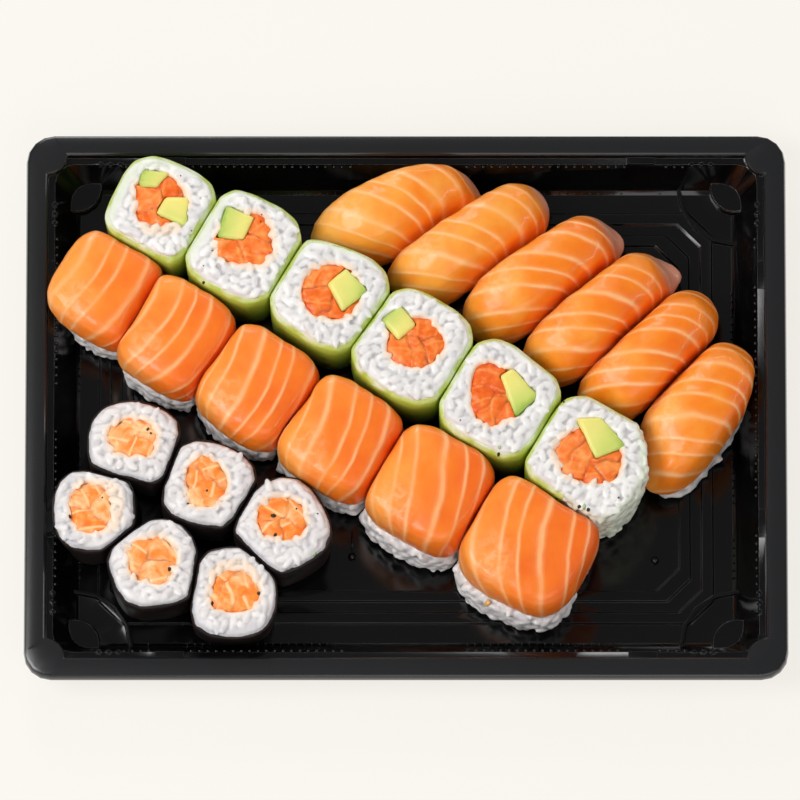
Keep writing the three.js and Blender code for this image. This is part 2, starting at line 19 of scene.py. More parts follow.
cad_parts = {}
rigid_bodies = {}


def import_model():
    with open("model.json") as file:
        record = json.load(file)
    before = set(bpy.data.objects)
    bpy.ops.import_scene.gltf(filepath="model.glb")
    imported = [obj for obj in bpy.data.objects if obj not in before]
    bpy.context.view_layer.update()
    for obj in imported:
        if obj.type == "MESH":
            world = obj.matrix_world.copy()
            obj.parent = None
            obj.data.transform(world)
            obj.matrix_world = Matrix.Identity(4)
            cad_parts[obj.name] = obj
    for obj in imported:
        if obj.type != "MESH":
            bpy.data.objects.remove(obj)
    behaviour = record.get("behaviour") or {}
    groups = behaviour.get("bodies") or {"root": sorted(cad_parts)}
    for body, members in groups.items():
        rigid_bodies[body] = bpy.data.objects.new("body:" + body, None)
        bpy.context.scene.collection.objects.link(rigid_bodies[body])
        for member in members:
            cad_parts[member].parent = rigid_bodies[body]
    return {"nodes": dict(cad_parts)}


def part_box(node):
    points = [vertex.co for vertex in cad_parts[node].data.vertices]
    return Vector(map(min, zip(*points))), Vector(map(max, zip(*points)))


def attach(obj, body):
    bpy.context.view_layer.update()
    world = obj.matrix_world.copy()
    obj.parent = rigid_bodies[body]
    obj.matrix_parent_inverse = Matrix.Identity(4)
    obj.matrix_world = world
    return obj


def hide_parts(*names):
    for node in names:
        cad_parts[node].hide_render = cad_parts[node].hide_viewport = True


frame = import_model()

MM = 0.001
BODY = "root"
LOG = logging.getLogger("sushi_tray")
Colour = tuple[float, float, float, float]
Where = Callable[[np.ndarray, np.ndarray], np.ndarray]
NEAR_WRAP_SHADE = "near_wrap"
NEAR_SALMON = "near_salmon"
SIDE_LIGHT_AND_SHADE = "side"
TIP = "tip"
CELL = "cell"
CREASE_SHADE = "crease"
PAINTED_SHEEN = "film"
PAINTED_EDGE_HIGHLIGHT = "edge"
PICTURE_MIDDLE = (406.0, 419.0)
PICTURE_PIXELS_PER_MM = 2.868
ELEVATION_DEG = 74.0
SALMON_BLEED = (1.0, 0.35, 0.12)


def linear(code: str) -> Colour:
    """Turn an sRGB hex colour to linear light.

    Args:
        code: Six hex digits after a hash mark.

    Returns:
        Red, green, blue and alpha for a node socket.
    """
    parts = [int(code[place:place + 2], 16) / 255 for place in (1, 3, 5)]
    light = [part / 12.92 if part <= 0.04045 else ((part + 0.055) / 1.055) ** 2.4 for part in parts]
    return (light[0], light[1], light[2], 1.0)


class Look:
    """A node material with one Principled shader, and short ways to add the usual nodes."""

    def __init__(self, name: str, **values: object) -> None:
        """Start the material.

        Args:
            name: Name of the real material.
            **values: Inputs of the shader, with underscores for the spaces in their names.
        """
        self.material = bpy.data.materials.new(name)
        self.material.use_nodes = True
        self.tree = self.material.node_tree
        self.tree.nodes.clear()
        self.shader = self.add("ShaderNodeBsdfPrincipled")
        self.add("ShaderNodeOutputMaterial", links={"Surface": self.shader.outputs["BSDF"]})
        for socket, value in values.items():
            self.shader.inputs[socket.replace("_", " ")].default_value = value
        coordinates = self.add("ShaderNodeTexCoord")
        self.place = coordinates.outputs["Object"]
        self.pairs = coordinates.outputs["UV"]

    def add(
        self,
        kind: str,
        values: dict[str | int, object] | None = None,
        links: dict[str | int, bpy.types.NodeSocket] | None = None,
        **settings: object,
    ) -> bpy.types.Node:
        """Add one node with its settings, values and incoming links.

        Args:
            kind: Blender's type name of the node.
            values: Input socket to value.
            links: Input socket to the output socket that feeds it.
            **settings: Properties of the node itself.

        Returns:
            The new node.
        """
        node = self.tree.nodes.new(kind)
        for name, setting in settings.items():
            setattr(node, name, setting)
        for socket, value in (values or {}).items():
            node.inputs[socket].default_value = value
        for socket, source in (links or {}).items():
            self.tree.links.new(source, node.inputs[socket])
        return node

    def feed(self, socket: str, source: bpy.types.NodeSocket) -> None:
        """Link an output to an input of the shader."""
        self.tree.links.new(source, self.shader.inputs[socket])

    def attribute(self, name: str) -> bpy.types.NodeSocket:
        """Read a number that the pieces carry under a name."""
        return self.add("ShaderNodeAttribute", attribute_name=name).outputs["Fac"]

    def part(self, vector: bpy.types.NodeSocket, axis: str) -> bpy.types.NodeSocket:
        """Return one axis of a vector."""
        return self.add("ShaderNodeSeparateXYZ", links={"Vector": vector}).outputs[axis]

    def clouds(self, size_mm: float, detail: float, distortion: float = 0.0) -> bpy.types.NodeSocket:
        """Return soft noise with patches of about size_mm."""
        values = {"Scale": 1 / (size_mm * MM), "Detail": detail, "Distortion": distortion}
        return self.add("ShaderNodeTexNoise", values, {"Vector": self.place}).outputs["Fac"]

    def ramp(
        self, share: bpy.types.NodeSocket, stops: list[tuple[float, str]]
    ) -> bpy.types.NodeSocket:
        """Return the colour that a number has on a row of places and hex colours."""
        node = self.add("ShaderNodeValToRGB", links={"Fac": share})
        elements = node.color_ramp.elements
        elements.remove(elements[1])
        elements[0].position = stops[0][0]
        elements[0].color = linear(stops[0][1])
        for place, code in stops[1:]:
            elements.new(place).color = linear(code)
        return node.outputs["Color"]

    def spread(self, share: bpy.types.NodeSocket, ends: dict[str, float]) -> bpy.types.NodeSocket:
        """Map a number from one range to another."""
        return self.add("ShaderNodeMapRange", ends, {"Value": share}).outputs["Result"]

    def blend(
        self, colour: bpy.types.NodeSocket, other: str, amount: bpy.types.NodeSocket
    ) -> bpy.types.NodeSocket:
        """Mix a colour towards a hex colour by an amount."""
        return self.add(
            "ShaderNodeMix", {7: linear(other)}, {0: amount, 6: colour}, data_type="RGBA"
        ).outputs[2]

    def product(
        self, first: bpy.types.NodeSocket, second: bpy.types.NodeSocket
    ) -> bpy.types.NodeSocket:
        """Multiply two numbers."""
        return self.add(
            "ShaderNodeMath", links={0: first, 1: second}, operation="MULTIPLY"
        ).outputs[0]

    def scaled_sum(
        self, share: bpy.types.NodeSocket, factor: float, added: bpy.types.NodeSocket
    ) -> bpy.types.NodeSocket:
        """Multiply a number by a factor and add another number."""
        return self.add(
            "ShaderNodeMath", {1: factor}, {0: share, 2: added}, operation="MULTIPLY_ADD"
        ).outputs[0]

    def emboss(self, height: bpy.types.NodeSocket, depth_mm: float, strength: float) -> None:
        """Give the shader fine relief."""
        bump = self.add(
            "ShaderNodeBump", {"Strength": strength, "Distance": depth_mm * MM}, {"Height": height}
        )
        self.feed("Normal", bump.outputs["Normal"])


@dataclass(frozen=True)
class BlackSheet:
    """Thermoformed black polystyrene: deep gloss inside, a greyer rim that is a painted reflection,
    and pale bevelled edges below the rim that are painted highlights.
    """

    inside: str = "#050505"
    # Grey of the rim top: a painted reflection.
    rim: str = "#2A2B2D"
    # Pale grey of the painted highlights on the bevelled edges.
    edge: str = "#84888C"
    rim_low: float = 0.017
    rim_high: float = 0.019
    wave_mm: float = 14.0
    wave_depth_mm: float = 0.12

    def make(self) -> bpy.types.Material:
        """Return the material."""
        look = Look("thermoformed_black_polystyrene", IOR=1.5)
        height = look.spread(
            look.part(look.place, "Z"), {"From Min": self.rim_low, "From Max": self.rim_high}
        )
        # Near black below the rim height, grey above it: the rim's grey is a painted reflection.
        tone = look.add(
            "ShaderNodeMix", {6: linear(self.inside), 7: linear(self.rim)}, {0: height},
            data_type="RGBA",
        )
        # Bevel faces below the rim are mixed towards the pale grey: painted highlights.
        look.feed("Base Color", look.blend(tone.outputs[2], self.edge, look.attribute(PAINTED_EDGE_HIGHLIGHT)))
        look.feed("Roughness", look.spread(height, {"To Min": 0.14, "To Max": 0.34}))
        look.emboss(look.clouds(self.wave_mm, 2), self.wave_depth_mm, 0.5)
        return look.material


@dataclass(frozen=True)
class CookedRice:
    """Moist cooked short-grain rice: milky, with painted grey shade between its grains and by the
    wrap, warm by the salmon.
    """

    name: str = "cooked_short_grain_rice"
    light: str = "#EFECE8"
    shade: str = "#DAD7D6"
    # Colour mixed in near the wrap: painted shade, and for the leaf rolls also the leaf's green
    # showing through.
    wrap_shade_and_tint: str = "#CFCDD0"
    by_salmon: str = "#F8DCBE"
    # Grey mixed into the hollows between grains: painted shade.
    between: str = "#A9A3A3"
    patch_mm: float = 5.0

    def make(self) -> bpy.types.Material:
        """Return the material. Its attributes tell how near the wrap and the filling are and how deep
        a hollow lies, for painted shade by the wrap and in the hollows.
        """
        look = Look(
            self.name, Roughness=0.36, Subsurface_Weight=0.15, Subsurface_Scale=0.0009,
            Subsurface_Radius=(1.0, 0.9, 0.8),
        )
        colour = look.ramp(look.clouds(self.patch_mm, 4), [(0.32, self.shade), (0.6, self.light)])
        # Near the wrap and in the hollows the colour is mixed towards painted shade.
        tints = {NEAR_WRAP_SHADE: self.wrap_shade_and_tint, NEAR_SALMON: self.by_salmon, CREASE_SHADE: self.between}
        for name, tint in tints.items():
            colour = look.blend(colour, tint, look.attribute(name))
        look.feed("Base Color", colour)
        return look.material


@dataclass(frozen=True)
class RawSalmon:
    """Raw salmon cut across its muscle: orange flesh with pale curved fat lines and a wet skin, a
    painted sheen patch on one shoulder, and painted light and shade from side to side.
    """

    name: str
    flesh: str
    warm: str
    deep: str
    fat: str
    line_strength: float
    tip: str = "#C79583"
    film: str = "#FFD9AE"

    def make(self) -> bpy.types.Material:
        """Return the material. Its UV map counts fat lines along U and millimetres along V."""
        look = Look(
            self.name, Roughness=0.42, Subsurface_Weight=0.15, Subsurface_Scale=0.002,
            Subsurface_Radius=SALMON_BLEED, Coat_Weight=0.22, Coat_Roughness=0.1,
            Specular_IOR_Level=0.3,
        )
        wander = look.scaled_sum(look.clouds(15, 2), 0.34, look.part(look.pairs, "X"))
        saw = look.add("ShaderNodeMath", links={0: wander}, operation="FRACT")
        line = look.ramp(saw.outputs[0], [
            (0.0, "#FFFFFF"), (0.07, "#F4F4F4"), (0.12, "#B0B0B0"), (0.2, "#606060"),
            (0.38, "#1C1C1C"), (0.6, "#000000"), (0.84, "#2A2A2A"), (0.92, "#969696"),
            (0.965, "#EEEEEE"), (1.0, "#FFFFFF"),
        ])
        patch = look.clouds(14, 3)
        # Warm to deep by noise and by the side attribute, which is painted light on the left and
        # painted shade on the right.
        flesh = look.ramp(
            look.scaled_sum(patch, 0.95, look.attribute(SIDE_LIGHT_AND_SHADE)),
            [(0.2, self.warm), (0.55, self.flesh), (1.0, self.deep)],
        )
        strength = look.spread(patch, {
            "From Min": 0.3, "From Max": 0.62,
            "To Min": self.line_strength * 0.4, "To Max": self.line_strength,
        })
        colour = look.blend(flesh, self.fat, look.product(line, strength))
        colour = look.blend(colour, self.tip, look.attribute(TIP))
        # A streaky whitish patch, strongest at the lower-left shoulder: a painted sheen.
        sheen_streaks = look.spread(
            look.clouds(3, 3, 0.6), {"From Min": 0.42, "From Max": 0.62, "To Min": 0.15}
        )
        colour = look.blend(colour, self.film, look.product(look.attribute(PAINTED_SHEEN), sheen_streaks))
        look.feed("Base Color", colour)
        look.emboss(look.scaled_sum(line, 0.5, look.clouds(1.6, 3)), 0.25, 0.4)
        return look.material


@dataclass(frozen=True)
class SalmonCore:
    """Salmon sticks cut across inside a roll: moist orange chunks, with painted shade in the creases
    where they meet.
    """

    name: str
    flesh: str
    deep: str
    pale: str
    crease: str
    veins: float

    def make(self) -> bpy.types.Material:
        """Return the material. Its attributes tell the chunk and how near a crease is."""
        look = Look(
            self.name, Roughness=0.38, Subsurface_Weight=0.2, Subsurface_Scale=0.0015,
            Specular_IOR_Level=0.35, Subsurface_Radius=SALMON_BLEED,
        )
        cell = look.attribute(CELL)
        cloud = look.clouds(4, 5, 0.6)
        base = look.ramp(
            look.scaled_sum(cell, 0.26, cloud),
            [(0.36, self.deep), (0.6, self.flesh), (0.95, self.pale)],
        )
        spin = look.add("ShaderNodeMath", {1: 40.0}, {0: cell}, operation="MULTIPLY")
        turned = look.add(
            "ShaderNodeVectorRotate", {"Axis": (0, 0, 1)},
            {"Vector": look.place, "Angle": spin.outputs[0]}, rotation_type="AXIS_ANGLE",
        )
        vein = look.add(
            "ShaderNodeTexWave", {"Scale": 1 / (20 * MM), "Distortion": 4.0, "Detail": 2.0},
            {"Vector": turned.outputs["Vector"]},
        )
        thin = look.spread(
            vein.outputs["Fac"], {"From Min": 0.9, "From Max": 0.99, "To Max": self.veins}
        )
        colour = look.blend(base, self.pale, thin)
        # Creases between chunks are mixed towards the crease colour: painted shade.
        look.feed("Base Color", look.blend(colour, self.crease, look.attribute(CREASE_SHADE)))
        look.emboss(cloud, 0.4, 0.7)
        return look.material


@dataclass(frozen=True)
class CutAvocado:
    """Ripe avocado cut in sticks: butter yellow flesh that turns green towards the skin side."""

    def make(self) -> bpy.types.Material:
        """Return the material. U of its UV map runs from the stone side to the skin side."""
        look = Look(
            "cut_ripe_avocado", Roughness=0.42, Subsurface_Weight=0.15, Subsurface_Scale=0.0015
        )
        share = look.scaled_sum(look.clouds(5, 3), 0.3, look.part(look.pairs, "X"))
        look.feed("Base Color", look.ramp(share, [
            (0.1, "#F3E27A"), (0.5, "#E6DF7C"), (0.85, "#C9D46A"), (1.08, "#9BBB4A"),
        ]))
        return look.material


@dataclass(frozen=True)
class LeafWrap:
    """Thin moist leaf round a roll: pale at its lip, yellow green below, and darker olive towards the
    foot, which is painted shade.
    """

    lip_z: float
    foot_z: float

    def make(self) -> bpy.types.Material:
        """Return the material."""
        look = Look(
            "moist_green_leaf_wrap", Roughness=0.34, Subsurface_Weight=0.15, Subsurface_Scale=0.001
        )
        cloud = look.clouds(6, 5)
        # From the lip down to the foot the colour darkens to olive: painted shade.
        depth = look.spread(
            look.part(look.place, "Z"), {"From Min": self.lip_z, "From Max": self.foot_z}
        )
        look.feed("Base Color", look.ramp(look.scaled_sum(cloud, 0.34, depth), [
            (0.2, "#E2E8C8"), (0.25, "#CDD98C"), (0.31, "#B3C54C"),
            (0.62, "#98AC36"), (1.1, "#5A751F"),
        ]))
        look.emboss(cloud, 0.3, 0.5)
        return look.material


@dataclass(frozen=True)
class SeaweedSheet:
    """Roasted seaweed sheet round a thin roll: near black with a brown cast and a dull sheen."""

    def make(self) -> bpy.types.Material:
        """Return the material."""
        look = Look("roasted_seaweed_sheet", Roughness=0.45)
        cloud = look.clouds(3, 6)
        look.feed("Base Color", look.ramp(cloud, [(0.35, "#0E0C0B"), (0.7, "#2A1B18")]))
        look.emboss(cloud, 0.3, 0.5)
        return look.material


@dataclass(frozen=True)
class Fleck:
    """A small dry bit on the rice: one mottled colour with a matt face."""

    name: str
    dark: str
    light: str

    def make(self) -> bpy.types.Material:
        """Return the material."""
        look = Look(self.name, Roughness=0.55)
        mottle = look.ramp(look.clouds(0.8, 2), [(0.4, self.dark), (0.6, self.light)])
        look.feed("Base Color", mottle)
        return look.material


@dataclass(frozen=True)
class StudioFloor:
    """Matt cream light table under the tray: it glows by itself, so shadows on it stay faint."""

    colour: str = "#FAF6F0"
    glow: float = 0.84
    shade: str = "#6A6866"

    def make(self) -> bpy.types.Material:
        """Return the material."""
        look = Look(
            "matt_cream_light_table", Base_Color=linear(self.shade), Roughness=0.9,
            Emission_Color=linear(self.colour), Emission_Strength=self.glow,
            Specular_IOR_Level=0.0,
        )
        look.emboss(look.clouds(2.5, 2), 0.05, 0.05)
        return look.material


def select_only(piece: bpy.types.Object) -> None:
    """Make one object the only selected one and the active one."""
    bpy.ops.object.select_all(action="DESELECT")
    piece.select_set(True)
    bpy.context.view_layer.objects.active = piece


def points_of(piece: bpy.types.Object) -> np.ndarray:
    """Return the vertex places of a mesh, one row each."""
    places = np.zeros(len(piece.data.vertices) * 3)
    piece.data.vertices.foreach_get("co", places)
    return places.reshape(-1, 3)


def normals_of(piece: bpy.types.Object) -> np.ndarray:
    """Return the vertex normals of a mesh, one row each."""
    normals = np.zeros(len(piece.data.vertices) * 3)
    piece.data.vertex_normals.foreach_get("vector", normals)
    return normals.reshape(-1, 3)


def move_points(piece: bpy.types.Object, places: np.ndarray) -> None:
    """Put the vertices of a mesh at new places."""
    piece.data.vertices.foreach_set("co", places.ravel())
    piece.data.update()


def ripple(places: np.ndarray, size_mm: float, seed: float) -> np.ndarray:
    """Return smooth noise from -1 to 1 at each place, with hollows and humps of about size_mm."""
    shift = Vector((seed * 7.31, seed * 3.17, seed * 1.93))
    scale = 1 / (size_mm * MM)
    return np.array([noise.noise(Vector(place) * scale + shift) for place in places])


def copy_node(node: str, name: str) -> bpy.types.Object:
    """Copy a CAD node's mesh as a new piece with its corners merged and its faces in quads.

    Args:
        node: Name of the CAD node.
        name: Name of the new piece.

    Returns:
        The new object at the origin.
    """
    piece = bpy.data.objects.new(name, frame["nodes"][node].data.copy())
    bpy.context.scene.collection.objects.link(piece)
    piece.data.materials.clear()
    select_only(piece)
    bpy.ops.mesh.customdata_custom_splitnormals_clear()
    bpy.ops.object.mode_set(mode="EDIT")
    bpy.ops.mesh.select_all(action="SELECT")
    bpy.ops.mesh.remove_doubles(threshold=0.01 * MM)
    bpy.ops.mesh.tris_convert_to_quads(
        face_threshold=math.radians(50), shape_threshold=math.radians(60)
    )
    bpy.ops.object.mode_set(mode="OBJECT")
    return piece


def apply_modifier(piece: bpy.types.Object, kind: str, **settings: object) -> None:
    """Add a modifier with its settings and apply it.

    Args:
        piece: Object to change.
        kind: Blender's type name of the modifier.
        **settings: Properties of the modifier.
    """
    select_only(piece)
    modifier = piece.modifiers.new(kind.title(), kind)
    for name, setting in settings.items():
        setattr(modifier, name, setting)
    bpy.ops.object.modifier_apply(modifier=modifier.name)


def round_off(piece: bpy.types.Object, levels: int, passes: int = 3) -> None:
    """Subdivide a piece into a smooth surface that still runs through its first corners.

    Args:
        piece: Object to change.
        levels: Subdivision levels.
        passes: How often the corners are moved out against the shrinking.
    """
    goal = points_of(piece)
    modifier = piece.modifiers.new("Fit", "SUBSURF")
    modifier.levels = 1
    for _ in range(passes):
        graph = bpy.context.evaluated_depsgraph_get()
        shrunk = points_of(piece.evaluated_get(graph))[:len(goal)]
        move_points(piece, points_of(piece) + 0.9 * (goal - shrunk))
    piece.modifiers.remove(modifier)
    apply_modifier(piece, "SUBSURF", levels=levels, render_levels=levels)
    select_only(piece)
    bpy.ops.object.shade_smooth()


def smoothed(
    piece: bpy.types.Object, rounds: int, weight: np.ndarray | float = 1.0, keep: float = 0.0,
    level: bool = False,
) -> np.ndarray:
    """Work out vertex places that are evened out towards the mean of their neighbours.

    Args:
        piece: Object to look at.
        rounds: Number of rounds.
        weight: Share of the way, for all vertices or for each.
        keep: Share by which every round is taken back outwards, which keeps the volume.
        level: Whether heights stay as they are.

    Returns:
        Places, one row each.
    """
    edges = np.zeros(len(piece.data.edges) * 2, dtype=int)
    piece.data.edges.foreach_get("vertices", edges)
    first, second = edges.reshape(-1, 2).T
    places = points_of(piece)
    count = len(places)
    near = np.bincount(first, minlength=count) + np.bincount(second, minlength=count)
    share = np.broadcast_to(np.asarray(weight, dtype=float), (count,))[:, None]
    share = share * ([1, 1, 0] if level else [1, 1, 1])
    steps = [0.6] if keep == 0 else [0.6, -keep]
    for step in steps * rounds:
        total = np.stack([
            np.bincount(first, places[second, axis], count)
            + np.bincount(second, places[first, axis], count)
            for axis in range(3)
        ], axis=1)
        places = places + step * share * (total / near[:, None] - places)
    return places


def relax(piece: bpy.types.Object, *settings: object, **named: object) -> None:
    """Even out a mesh, with the settings that smoothed takes."""
    move_points(piece, smoothed(piece, *settings, **named))


def hollows(piece: bpy.types.Object, rounds: int, full_mm: float) -> np.ndarray:
    """Tell from 0 to 1 how deep each vertex lies below its surroundings.

    Args:
        piece: Object to look at.
        rounds: Rounds of smoothing that make the surroundings.
        full_mm: Depth that counts as 1.

    Returns:
        One number a vertex.
    """
    away = smoothed(piece, rounds) - points_of(piece)
    return np.clip((away * normals_of(piece)).sum(axis=1) / (full_mm * MM), 0, 1)


def even_mesh(piece: bpy.types.Object, voxel_mm: float, rounds: int, keep: float = 0.62) -> None:
    """Give a piece an even mesh with softened edges at its own size.

    Args:
        piece: Object to change.
        voxel_mm: Mesh size.
        rounds: Rounds of smoothing.
        keep: Share of every round that is taken back, which keeps the volume.
    """
    apply_modifier(piece, "REMESH", mode="VOXEL", voxel_size=voxel_mm * MM)
    relax(piece, rounds, keep=keep)
    select_only(piece)
    bpy.ops.object.shade_smooth()


def write_values(piece: bpy.types.Object, name: str, values: np.ndarray) -> None:
    """Write one number for each vertex, for a shader to read.

    Args:
        piece: Object that takes the attribute.
        name: Name of the attribute.
        values: One number a vertex.
    """
    layer = piece.data.attributes.new(name, "FLOAT", "POINT")
    layer.data.foreach_set("value", np.asarray(values, dtype=float))


def distance_to(places: np.ndarray, others: np.ndarray) -> np.ndarray:
    """Return the distance in X and Y from each place to the nearest of the others."""
    tree = KDTree(len(others))
    for index, other in enumerate(others):
        tree.insert((other[0], other[1], 0), index)
    tree.balance()
    return np.array([tree.find((place[0], place[1], 0))[2] for place in places])


def edges_of(piece: bpy.types.Object) -> np.ndarray:
    """Return the two vertex numbers of every edge, one edge a row."""
    return np.array([edge.vertices[:] for edge in piece.data.edges])


def along_edges(corners: np.ndarray, edges: np.ndarray, count: int) -> np.ndarray:
    """Return evenly spaced points along edges, both ends included.

    Args:
        corners: Vertex places, one row each.
        edges: Vertex numbers, one edge a row.
        count: Points on each edge.

    Returns:
        Points, one row each.
    """
    steps = np.linspace(0, 1, count)[:, None, None]
    return (corners[edges[:, 0]] * (1 - steps) + corners[edges[:, 1]] * steps).reshape(-1, 3)


def outline_of(piece: bpy.types.Object) -> np.ndarray:
    """Return points along the edges of a bare copy that face outwards and sideways.

    Args:
        piece: CAD node, or a bare copy of it.

    Returns:
        Points, one row each.
    """
    corners, normals = points_of(piece), normals_of(piece)
    middle = corners.mean(axis=0)
    outward = ((corners - middle)[:, :2] * normals[:, :2]).sum(axis=1) > 0
    steep = outward & (np.abs(normals[:, 2]) < 0.55)
    edges = edges_of(piece)
    return along_edges(corners, edges[steep[edges].all(axis=1)], 4)


def fade(distance: np.ndarray, reach_mm: float) -> np.ndarray:
    """Return 1 at no distance, falling smoothly to 0 at the reach."""
    share = np.clip(1 - distance / (reach_mm * MM), 0, 1)
    return share * share * (3 - 2 * share)


def dress(
    piece: bpy.types.Object, material: bpy.types.Material,
    replaced: list[str] | None = None,
) -> None:
    """Give a finished piece its material, its body and what it stands for.

    Args:
        piece: Finished object.
        material: Its only material.
        replaced: CAD nodes that the piece stands for.
    """
    piece.data.materials.clear()
    piece.data.materials.append(material)
    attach(piece, BODY)
    if replaced:
        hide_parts(*replaced)
    LOG.info("%s: %d faces", piece.name, len(piece.data.polygons))


def new_mesh(name: str, places: np.ndarray, faces: np.ndarray) -> bpy.types.Object:
    """Make an object from arrays of places and of faces with equal counts of corners.

    Args:
        name: Name of the object.
        places: Vertex places, one row each.
        faces: Vertex numbers, one face a row.

    Returns:
        The smooth-shaded object.
    """
    mesh = bpy.data.meshes.new(name)
    mesh.from_pydata(places.tolist(), [], faces.tolist())
    mesh.shade_smooth()
    piece = bpy.data.objects.new(name, mesh)
    bpy.context.scene.collection.objects.link(piece)
    return piece


@dataclass
class Stamp:
    """A small shape that is modelled once and copied many times into one mesh."""

    places: np.ndarray
    faces: np.ndarray

    @classmethod
    def grain(cls, length_mm: float, width_mm: float, height_mm: float) -> "Stamp":
        """Model one rice grain: a slim egg, a little fuller at one end.

        Args:
            length_mm: Length of the grain.
            width_mm: Its width.
            height_mm: Its thickness.

        Returns:
            The stamp, along X.
        """
        bpy.ops.object.select_all(action="DESELECT")
        bpy.ops.mesh.primitive_uv_sphere_add(segments=8, ring_count=6, radius=0.5)
        model = bpy.context.active_object
        bpy.ops.object.mode_set(mode="EDIT")
        bpy.ops.mesh.select_all(action="SELECT")
        bpy.ops.transform.rotate(value=math.pi / 2, orient_axis="Y", center_override=(0, 0, 0))
        bpy.ops.mesh.quads_convert_to_tris()
        bpy.ops.object.mode_set(mode="OBJECT")
        places = points_of(model) * [length_mm * MM, width_mm * MM, height_mm * MM]
        places[:, 1:] *= 1 + 0.16 * places[:, :1] / (length_mm * MM)
        faces = np.array([list(face.vertices) for face in model.data.polygons])
        bpy.data.objects.remove(model)
        return cls(places, faces)

    @classmethod
    def bead(cls, radius_mm: float) -> "Stamp":
        """Model one moulded bead as a small ball.

        Args:
            radius_mm: Radius of the bead.

        Returns:
            The stamp.
        """
        bpy.ops.object.select_all(action="DESELECT")
        bpy.ops.mesh.primitive_ico_sphere_add(subdivisions=1, radius=radius_mm * MM)
        model = bpy.context.active_object
        places = points_of(model)
        faces = np.array([list(face.vertices) for face in model.data.polygons])
        bpy.data.objects.remove(model)
        return cls(places, faces)

    def copies(
        self, name: str, centres: np.ndarray, turns: np.ndarray, scales: np.ndarray
    ) -> bpy.types.Object:
        """Join copies of the stamp into one object.

        Args:
            name: Name of the object.
            centres: Place of each copy.
            turns: A 3 by 3 matrix for each copy, with the copy's axes as columns.
            scales: Three scale factors for each copy.

        Returns:
            The joined object.
        """
        local = self.places[None, :, :] * scales[:, None, :]
        placed = np.einsum("nij,nvj->nvi", turns, local) + centres[:, None, :]
        first = np.arange(len(centres)) * len(self.places)
        faces = self.faces[None, :, :] + first[:, None, None]
        return new_mesh(name, placed.reshape(-1, 3), faces.reshape(-1, 3))


@dataclass
class RiceCoat:
    """Grains that lie in the skin of a rice body, spread evenly by a seeded draw."""

    grain: Stamp
    pitch_mm: float
    stand_mm: float
    jitter_mm: float
    tilt: float
    flatten: float

    def spots(
        self, core: bpy.types.Object, seed: int, where: Where
    ) -> tuple[np.ndarray, np.ndarray]:
        """Draw places on the core that keep a pitch apart.

        Args:
            core: Object whose surface is covered.
            seed: Seed of the draw.
            where: Tells from places and normals which ones are wanted.

        Returns:
            Places and normals, one row each.
        """
        draw = np.random.default_rng(seed)
        core.data.calc_loop_triangles()
        corners = np.array([triangle.vertices[:] for triangle in core.data.loop_triangles])
        a, b, c = (points_of(core)[corners[:, k]] for k in range(3))
        cross = np.cross(b - a, c - a)
        area = np.linalg.norm(cross, axis=1) / 2
        tries = int(area.sum() / (self.pitch_mm * MM) ** 2 * 9)
        chosen = draw.choice(len(area), tries, p=area / area.sum())
        r1, r2 = np.sqrt(draw.random(tries)), draw.random(tries)
        spot = (1 - r1)[:, None] * a[chosen] + (r1 * (1 - r2))[:, None] * b[chosen]
        spot += (r1 * r2)[:, None] * c[chosen]
        normal = cross[chosen] / np.maximum(2 * area[chosen], 1e-12)[:, None]
        wanted = where(spot, normal)
        spot, normal = spot[wanted], normal[wanted]
        cell = self.pitch_mm * MM
        kept: list[int] = []
        grid: dict[tuple[int, int, int], list[int]] = {}
        for index, place in enumerate(spot):
            key = tuple(int(value // cell) for value in place)
            around = [
                other
                for dx in (-1, 0, 1) for dy in (-1, 0, 1) for dz in (-1, 0, 1)
                for other in grid.get((key[0] + dx, key[1] + dy, key[2] + dz), [])
            ]
            if all(np.linalg.norm(spot[other] - place) >= cell for other in around):
                kept.append(index)
                grid.setdefault(key, []).append(index)
        return spot[kept], normal[kept]

    def cover(
        self, core: bpy.types.Object, name: str, seed: int, where: Where
    ) -> bpy.types.Object:
        """Lay grains on part of a core.

        Args:
            core: Object whose surface is covered.
            name: Name of the joined grains.
            seed: Seed of the draw.
            where: Tells from places and normals which ones are wanted.

        Returns:
            The joined grains.
        """
        places, normals = self.spots(core, seed, where)
        draw = np.random.default_rng(seed + 1)
        count = len(places)
        help_axis = np.where(np.abs(normals[:, 2:3]) > 0.8, [[1.0, 0, 0]], [[0, 0, 1.0]])
        side = np.cross(normals, help_axis)
        side /= np.linalg.norm(side, axis=1)[:, None]
        other = np.cross(normals, side)
        angle = draw.random(count) * 2 * math.pi
        along = np.cos(angle)[:, None] * side + np.sin(angle)[:, None] * other
        lean = (draw.random(count) - 0.5)[:, None] * 2 * self.tilt
        along = along * np.cos(lean) + normals * np.sin(lean)
        across = np.cross(normals, along)
        across /= np.linalg.norm(across, axis=1)[:, None]
        up = np.cross(along, across)
        turns = np.stack([along, across, up], axis=2)
        scales = 0.84 + 0.32 * draw.random((count, 3))
        scales[:, 2] *= self.flatten
        lift = self.stand_mm + self.jitter_mm * (2 * draw.random(count)[:, None] - 1)
        return self.grain.copies(name, places + normals * lift * MM, turns, scales)


def towards_camera() -> Vector:
    """Return the unit vector from the food to the camera."""
    lift = math.radians(ELEVATION_DEG)
    return Vector((0, -math.cos(lift), math.sin(lift)))


